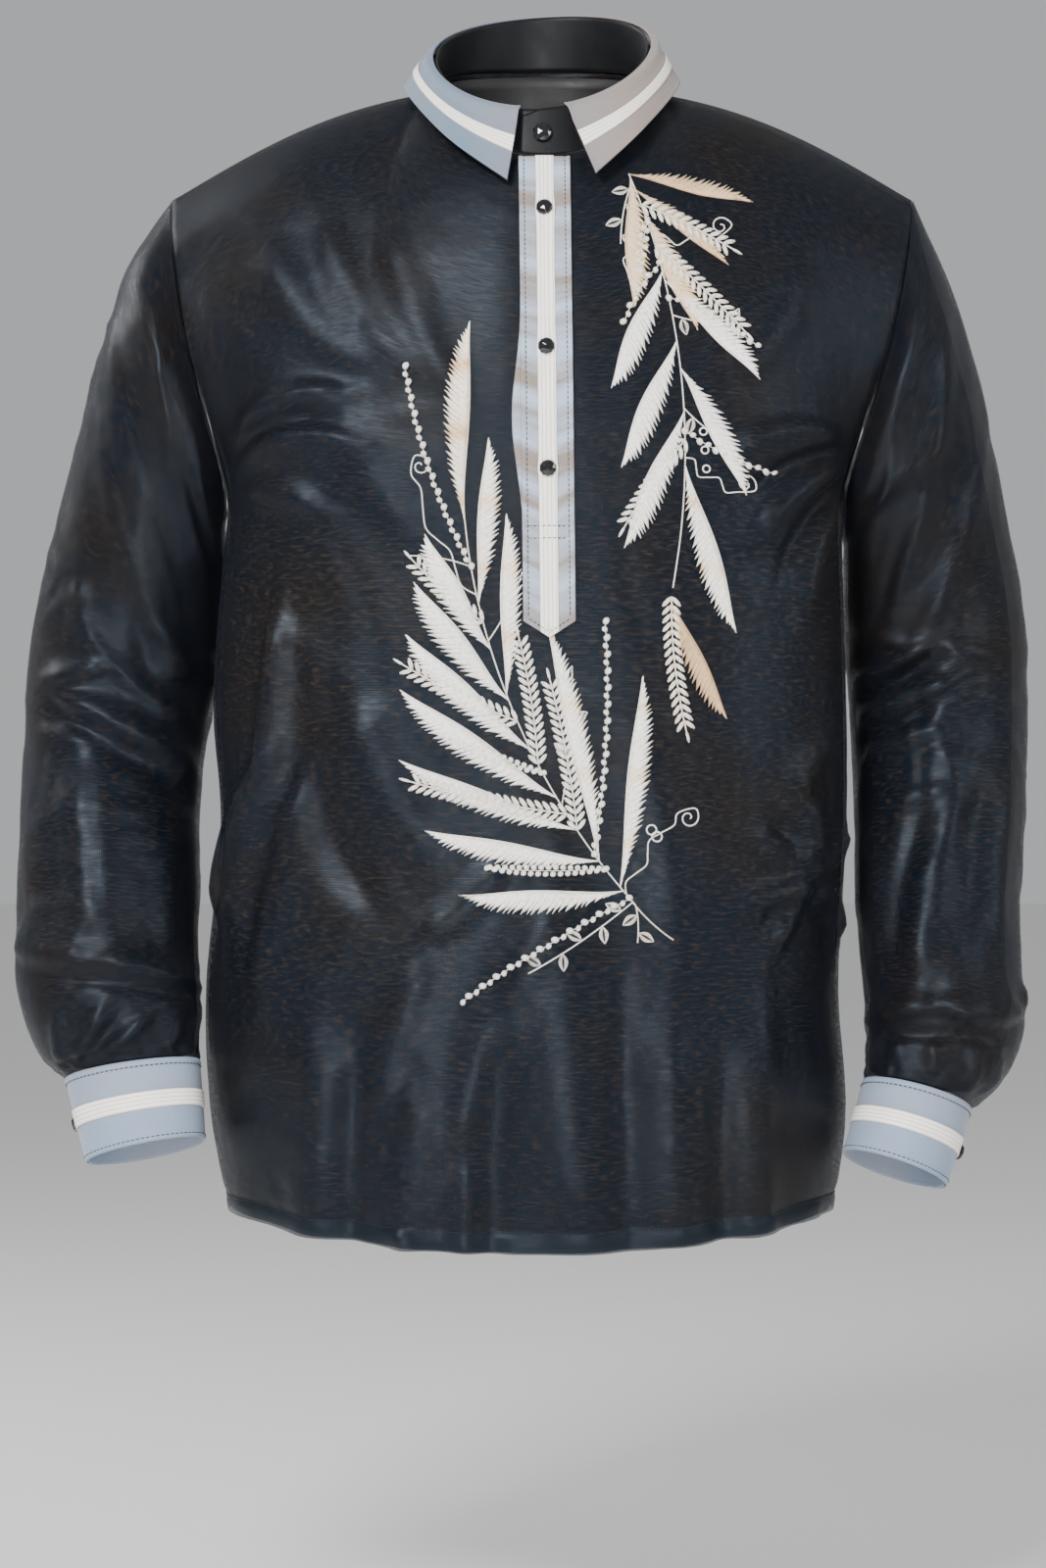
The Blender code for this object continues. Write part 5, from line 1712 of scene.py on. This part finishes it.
def arc(stem: Stem, share: Array) -> tuple[Array, Array]:
    """Points of a stem at shares of its length, in mm, and its way there."""
    fine = np.linspace(0, 1, 200)
    angle = np.radians(stem.heading + stem.swing * fine)
    step = np.stack((np.cos(angle), np.sin(angle)), axis=-1)
    points = np.array((stem.x, stem.z)) + np.cumsum(step, axis=0) * stem.length / len(fine)
    read = [np.stack([np.interp(share, fine, table[:, k]) for k in (0, 1)], axis=-1)
            for table in (points, step)]
    return read[0], unit(read[1])


def grown(stem: Stem, shoots: Sequence[Shoot]) -> list[NamedTuple]:
    """The motifs of a spray, each a smooth path away from its stem, with the stem as a cord."""
    items: list[NamedTuple] = [Vine(tuple(map(tuple, arc(stem, np.linspace(0, 0.95, 9))[0])), 0.2)]
    for shoot in shoots:
        base, way = (part[0] for part in arc(stem, np.array([shoot.at])))
        turn = math.radians(shoot.turn)
        ahead = way * math.cos(turn) + np.array((-way[1], way[0])) * math.sin(turn)
        aside = np.array((-ahead[1], ahead[0]))
        t = np.linspace(0, 1, 9)[:, None]
        wave = SWAY * np.sin(4 * math.pi * t) if shoot.kind is Motif.TENDRIL else 0
        path = base + ahead * shoot.reach * t + aside * (shoot.bow * t ** 2 + wave)
        if shoot.kind is Motif.TENDRIL:
            spin = np.linspace(0.3, 3.1, 12)[:, None] * math.pi
            wind = CURL * (1.15 - spin / spin[-1]) * math.copysign(1, shoot.bow)
            curl = aside * (wind[0] - wind * np.cos(spin)) + ahead * np.abs(wind) * np.sin(spin)
            path = np.concatenate((path, (path[-1] + curl)[1:]))
        path = tuple(map(tuple, path))
        if shoot.kind is Motif.BLADE:
            teeth = -1 if shoot.bow > 0 else 1
            items.append(Blade(path, shoot.width, shoot.shade, teeth, shoot.bands))
        elif shoot.kind is Motif.EAR:
            items.append(Spike(path, shoot.shade))
        elif shoot.kind is Motif.EYELET:
            items.append(Ring(*path[-1], shoot.width))
        elif shoot.kind in (Motif.BEADS, Motif.GRAPES):
            items.append(Chain(path, shoot.shade, shoot.kind is Motif.GRAPES))
        else:
            items.append(Vine(path, shoot.shade, shoot.leaves))
    return items


class Relief:
    """Height of the cloth's outside over a level net of points, read between them."""

    def __init__(self, trees: Sequence[BVHTree], low: tuple[float, float], high: tuple[float, float],
                 step: float) -> None:
        """Feels the cloth from low to high (x and z) at every step."""
        self.low, self.step = low, step
        x = np.arange(low[0], high[0], step)
        z = np.arange(low[1], high[1], step)
        points, _ = cast(trees, *np.meshgrid(x, z))
        y = points[..., 1]
        for _ in range(3):
            beside = y[:-2, 1:-1] + y[2:, 1:-1] + y[1:-1, :-2] + y[1:-1, 2:]
            y[1:-1, 1:-1] = (y[1:-1, 1:-1] * 4 + beside) / 8
        slope_z, slope_x = np.gradient(y, step)
        normal = unit(np.stack((slope_x, -np.ones_like(y), slope_z), axis=-1))
        self.table = np.concatenate((column(y), normal), axis=-1)

    def over(self, x: Array, z: Array, height: Array) -> Array:
        """Points at a height over the cloth."""
        a = np.clip((x - self.low[0]) / self.step, 0, self.table.shape[1] - 1.001)
        b = np.clip((z - self.low[1]) / self.step, 0, self.table.shape[0] - 1.001)
        i, j = a.astype(int), b.astype(int)
        fa, fb = column(a - i), column(b - j)
        t = self.table
        below = t[j, i] * (1 - fa) + t[j, i + 1] * fa
        above = t[j + 1, i] * (1 - fa) + t[j + 1, i + 1] * fa
        read = below * (1 - fb) + above * fb
        return stack(x, read[..., 0], z) + unit(read[..., 1:]) * column(height)


def curve(path: Sequence[tuple[float, float]], step: float) -> Array:
    """Smooth curve through a path in millimetres, as points in metres a step apart."""
    rows = np.asarray(path, dtype=float) * MM
    fine = through(rows, np.linspace(0, len(rows) - 1, 60 * len(rows)))
    s = np.concatenate(((0,), np.cumsum(np.linalg.norm(np.diff(fine, axis=0), axis=1))))
    at = np.linspace(0, s[-1], max(int(s[-1] / step), 4))
    return np.stack((np.interp(at, s, fine[:, 0]), np.interp(at, s, fine[:, 1])), axis=-1)


def sides(line: Array) -> tuple[Array, Array]:
    """Unit directions along a line of points, and to its left."""
    way = unit(np.gradient(line, axis=-2))
    return way, np.stack((-way[..., 1], way[..., 0]), axis=-1)


@dataclass
class Spray:
    """One embroidered spray, gathered as strands and laid on the cloth together."""

    name: str
    relief: Relief
    spacing: float = 0.65 * MM     # real strands are 0.3 mm apart, drawn coarser to show
    layer: float = 0.0
    corners: list[Array] = field(default_factory=list)
    shades: list[Array] = field(default_factory=list)
    faces: list[tuple[int, ...]] = field(default_factory=list)
    count: int = 0

    def strands(self, line: Array, width: Array | float, height: Array, shade: Array | float) -> None:
        """Adds closed three-sided strands.

        Args:
            line: strands by stops by x, z.
            width: width of each strand, or of each at each stop.
            height: ridge height over the cloth at each stop.
            shade: dye of each strand at each stop, 0 white to 1 sand.
        """
        _, left = sides(line)
        width = np.broadcast_to(width, line.shape[:2])
        half = left * column(width / 2)
        low = np.broadcast_to(height, line.shape[:2]) - width * 0.42
        high = np.broadcast_to(height, line.shape[:2])
        rings = np.stack((np.concatenate((line - half, column(low)), -1),
                          np.concatenate((line + half, column(low)), -1),
                          np.concatenate((line, column(high)), -1)), axis=2)
        rings[..., 2] += self.layer
        total, stops = line.shape[:2]
        start = (np.arange(total)[:, None] * stops + np.arange(stops - 1)[None]) * 3 + self.count
        a, b = start.ravel(), start.ravel() + 3
        for p, q in ((0, 1), (1, 2), (2, 0)):
            self.faces += zip(*(part.tolist() for part in (a + p, b + p, b + q, a + q)))
        first = np.arange(total) * stops * 3 + self.count
        last = first + (stops - 1) * 3
        self.faces += zip(*(part.tolist() for part in (first, first + 1, first + 2)))
        self.faces += zip(*(part.tolist() for part in (last + 2, last + 1, last)))
        self.corners.append(rings.reshape(-1, 3))
        self.shades.append(np.repeat(np.broadcast_to(shade, line.shape[:2]).ravel(), 3))
        self.count += total * stops * 3

    def cord(self, line: Array, radius: float, shade: float, ply: bool = False) -> None:
        """Adds a couched cord along a line; ply lays two strands round each other."""
        if not ply:
            self.strands(line[None], radius * 2, np.full((1, len(line)), radius * 1.3), shade)
            return
        _, left = sides(line)
        phase = np.arange(len(line)) * 1.25
        for turn in (0.0, math.pi):
            aside = left * column(np.sin(phase + turn)) * radius * 0.55
            rise = radius * (1.3 + 0.5 * np.cos(phase + turn))
            self.strands((line + aside)[None], radius * 1.3, rise[None], shade + 0.12 * math.cos(turn))

    def kernels(self, centre: Array, way: Array, length: float, width: float, shade: float) -> None:
        """Adds padded ovals, each of five strands along its length."""
        way = unit(way)
        left = np.stack((-way[:, 1], way[:, 0]), axis=-1)
        across = np.linspace(-0.8, 0.8, 5)
        stops = np.array((-1.0, -0.45, 0.45, 1.0))
        reach = np.sqrt(1 - across ** 2) * length / 2
        line = (centre[:, None, None] + left[:, None, None] * (across * width / 2)[None, :, None, None]
                + way[:, None, None] * (reach[:, None] * stops)[None, ..., None])
        dome = (1 - across[:, None] ** 2 * 0.55) * np.array((0.15, 1.0, 1.0, 0.15)) * width * 0.42
        line = line.reshape(-1, 4, 2)
        height = np.broadcast_to(dome, (len(centre), 5, 4)).reshape(-1, 4)
        tint = shade + 0.10 * np.abs(across)[None, :, None] + np.zeros((len(centre), 5, 4))
        self.strands(line, width / 4.0, height, tint.reshape(-1, 4))

    def blade(self, item: Blade) -> None:
        """Adds a blade: slanting strands from a smooth outlined edge to a toothed one."""
        line = curve(item.path, self.spacing)
        s = np.linspace(0, 1, len(line))
        way, left = sides(line)
        left = left * item.teeth
        width = item.width * 0.94 * MM * np.sin(math.pi * s ** 1.10) ** 1.2
        stray = lattice(np.arange(len(line)), np.full(len(line), int(item.width)), 3)
        along = s * self.spacing * len(line) / (3.9 * MM)
        tooth = (along + 0.22 * np.sin(along * 1.7 + item.width)) % 1.0
        smooth = line - left * column(width * 0.46)
        reach = width * (0.32 + 0.02 * stray) + 4.4 * MM * tooth ** 1.2 * np.minimum(width / (7 * MM), 1)
        toothed = line + left * column(reach) + way * column(width * 0.55 + 2.4 * MM * tooth)
        t = np.array((0.0, 0.20, 0.80, 1.0))[None, :, None]
        strands = smooth[:, None] * (1 - t) + toothed[:, None] * t
        arch = (0.30 * MM + 0.07 * width)[:, None] * np.array((0.5, 1.0, 1.0, 0.40))[None]
        tint = item.shade + 0.10 * (stray - 0.5)
        tint = tint[:, None] + np.array((0.0, 0.0, 0.05, 0.10))[None]
        if item.bands:
            height = strands[..., 1] / 0.045
            tint = tint + 0.45 * np.exp(-((height - np.round(height)) / 0.13) ** 2)
        thick = self.spacing * np.array((1.15, 1.3, 1.25, 0.8))
        self.strands(strands, thick, arch, np.clip(tint, 0, 1))
        self.cord(smooth[::2] - left[::2] * 0.3 * MM, 0.42 * MM, min(item.shade + 0.2, 1.0))
        self.layer += 0.10 * MM

    def spike(self, item: Spike) -> None:
        """Adds an ear of grain: a stem with paired slanting kernels."""
        line = curve(item.path, 1.2 * MM)
        self.cord(line, 0.55 * MM, item.shade + 0.12)
        places = curve(item.path, 4.9 * MM)
        way, left = sides(places)
        for turn in (-1, 1):
            slant = way * 0.74 + left * turn * 0.67
            self.kernels(places[:-2] + slant[:-2] * 4.7 * MM, slant[:-2], 8.4 * MM, 2.6 * MM, item.shade)
        self.kernels(places[-1:], way[-1:], 8.5 * MM, 1.7 * MM, item.shade)

    def chain(self, item: Chain) -> None:
        """Adds a row of beads, doubled where it hangs like grapes."""
        places = curve(item.path, (4.3 if item.double else 5.2) * MM)
        way, left = sides(places)
        self.cord(curve(item.path, 1.6 * MM), 0.28 * MM, item.shade + 0.1)
        swing = np.where(np.arange(len(places)) % 2, 1.0, -1.0)
        if item.double:
            middle = np.sin(math.pi * np.linspace(0, 1, len(places)))
            for turn in (-1, 1):
                aside = left * column(turn * (0.4 + 1.8 * middle) * MM) + way * turn * 0.9 * MM
                self.kernels(places + aside, way + left * turn * 0.5, 3.9 * MM, 3.1 * MM, item.shade)
        else:
            places, way = places + left * column(swing * 0.6 * MM), way + left * column(swing * 0.8)
            for k, size in ((0, 5.0 * MM), (1, 4.2 * MM)):
                self.kernels(places[k::2], way[k::2], size, size * 0.74, item.shade)

    def vine(self, item: Vine) -> None:
        """Adds a twisted cord, with small outlined leaves filled with satin stitch."""
        line = curve(item.path, 0.8 * MM)
        self.cord(line, 0.5 * MM, item.shade, ply=True)
        way, left = sides(line)
        for k in range(item.leaves):
            at = int((k + 0.6) / (item.leaves + 0.2) * (len(line) - 1))
            turn = 1 if k % 2 else -1
            out = unit(way[at] * 0.55 + left[at] * turn)
            self.leaf(line[at] + out * 0.8 * MM, out, 11.0 * MM, 5.8 * MM, turn, item.shade)

    def leaf(self, base: Array, way: Array, length: float, width: float, turn: int, shade: float) -> None:
        """Adds one leaf: an outline of cord, and strands from its rib to both edges."""
        left = np.array((-way[1], way[0])) * turn
        t = np.linspace(0, 1, 13)
        swell = np.sin(math.pi * t ** 0.9) * width / 2
        rib = base + np.outer(t, way) * length
        one, other = rib + left * column(swell), rib - left * column(swell)
        outline = np.concatenate((one, other[-2:0:-1], one[:1]))
        self.cord(outline, 0.30 * MM, shade + 0.1)
        stops = np.array((0.0, 0.5, 1.0))[None, :, None]
        for edge, dye in ((one, shade), (other, shade + 0.15)):
            inner = rib[1:-1, None] * 0.85 + edge[1:-1, None] * 0.15
            fill = inner * (1 - stops) + (edge[1:-1, None] + way * 0.6 * MM) * stops
            self.strands(fill, 0.85 * MM, np.array((0.2, 0.6, 0.3))[None] * MM + np.zeros((11, 3)), dye)

    def ring(self, item: Ring) -> None:
        """Adds a small worked eyelet."""
        turn = np.linspace(0, 2 * math.pi, 15)
        line = np.stack((item.x * MM + np.cos(turn) * item.radius * MM,
                         item.z * MM + np.sin(turn) * item.radius * MM), axis=-1)
        self.cord(line, 0.6 * MM, 0.1)

    def build(self, items: Sequence[NamedTuple], wardrobe: Wardrobe) -> None:
        """Works every motif in order, lays the spray on the cloth and dresses it."""
        work = {Blade: self.blade, Spike: self.spike, Chain: self.chain, Vine: self.vine, Ring: self.ring}
        for item in items:
            work[type(item)](item)
        flat = np.concatenate(self.corners)
        points = self.relief.over(flat[:, 0], flat[:, 1], flat[:, 2])
        piece = joined(self.name, points, self.faces)
        piece.data.attributes.new("shade", "FLOAT", "POINT").data.foreach_set(
            "value", np.concatenate(self.shades).astype(np.float32))
        finish(piece, wardrobe.floss)


# ------------------------------------------------------------------ studio

@dataclass(frozen=True)
class Studio:
    """Plain pale floor, soft lights and a level camera."""

    floor_z: float = -1.05
    distance: float = 3.2
    view_height: float = 1.072     # metres seen from top to bottom at the neck
    centre: tuple[float, float] = (-0.013, -0.456)

    def light(self, name: str, place: tuple[float, float, float], size: tuple[float, float],
              power: float) -> None:
        """Adds one large soft light that faces the shirt."""
        lamp = bpy.data.lights.new(name, "AREA")
        lamp.shape, lamp.size, lamp.size_y, lamp.energy = "RECTANGLE", *size, power
        item = bpy.data.objects.new(name, lamp)
        item.location = place
        item.rotation_euler = (Vector((0, 0, -0.4)) - Vector(place)).to_track_quat("-Z", "Y").to_euler()
        bpy.context.scene.collection.objects.link(item)

    def build(self) -> None:
        """Sets the stage, which is no part of the shirt."""
        bm = bmesh.new()
        bmesh.ops.create_grid(bm, x_segments=1, y_segments=1, size=20)
        for vert in bm.verts:
            vert.co.z = self.floor_z
        floor = made("floor", bm, smooth=False)
        paint = {"Base Color": linear("#f2f1ef"), "Roughness": 0.9}
        floor.data.materials.append(surfaced(new_material("paint, matt, pale"), paint, {}))
        self.light("key", (-1.3, -2.8, 1.5), (0.9, 0.9), 160)
        self.light("front", (0.02, -3.6, -0.95), (0.40, 1.2), 105)
        self.light("side", (2.6, -1.8, 0.6), (0.6, 1.6), 32)
        self.light("rim", (-2.2, 1.2, 1.2), (0.8, 1.6), 40)
        world = bpy.data.worlds.new("studio")
        world.use_nodes = True
        world.node_tree.nodes["Background"].inputs[0].default_value = linear("#f4f6f8")
        world.node_tree.nodes["Background"].inputs[1].default_value = 0.5
        bpy.context.scene.world = world
        lens = bpy.data.cameras.new("camera")
        lens.sensor_fit, lens.sensor_height = "VERTICAL", 24.0
        lens.lens = 24.0 * self.distance / self.view_height
        camera = bpy.data.objects.new("camera", lens)
        camera.location = (self.centre[0], -self.distance, self.centre[1])
        camera.rotation_euler = (math.pi / 2, 0, 0)
        bpy.context.scene.collection.objects.link(camera)
        bpy.context.scene.camera = camera


def main() -> None:
    """Builds the shirt piece by piece, then the studio."""
    logging.basicConfig(level=logging.INFO, format="%(message)s")
    wardrobe = Wardrobe()
    body = Body()
    body.build(wardrobe)
    for side in Side:
        Sleeve(side).build(wardrobe)
        Cuff(side).build(wardrobe)
    collar = Collar()
    collar.build(wardrobe)
    collar.button(wardrobe)
    front = tree_of(body.front)
    Placket(front).build(wardrobe)
    over_front = ("placket_strip_upper", "placket_trim")
    trees = [front, *(tree_of(bpy.data.objects[name]) for name in over_front)]
    relief = Relief(trees, (-0.160, -0.600), (0.175, -0.0395), 2.0 * MM)
    Spray("needlework_chest", relief).build(grown(HANGING, CHEST_SHOOTS), wardrobe)
    Spray("needlework_waist", relief).build(grown(RISING, WAIST_SHOOTS), wardrobe)
    Studio().build()


if __name__ == "__main__":
    main()
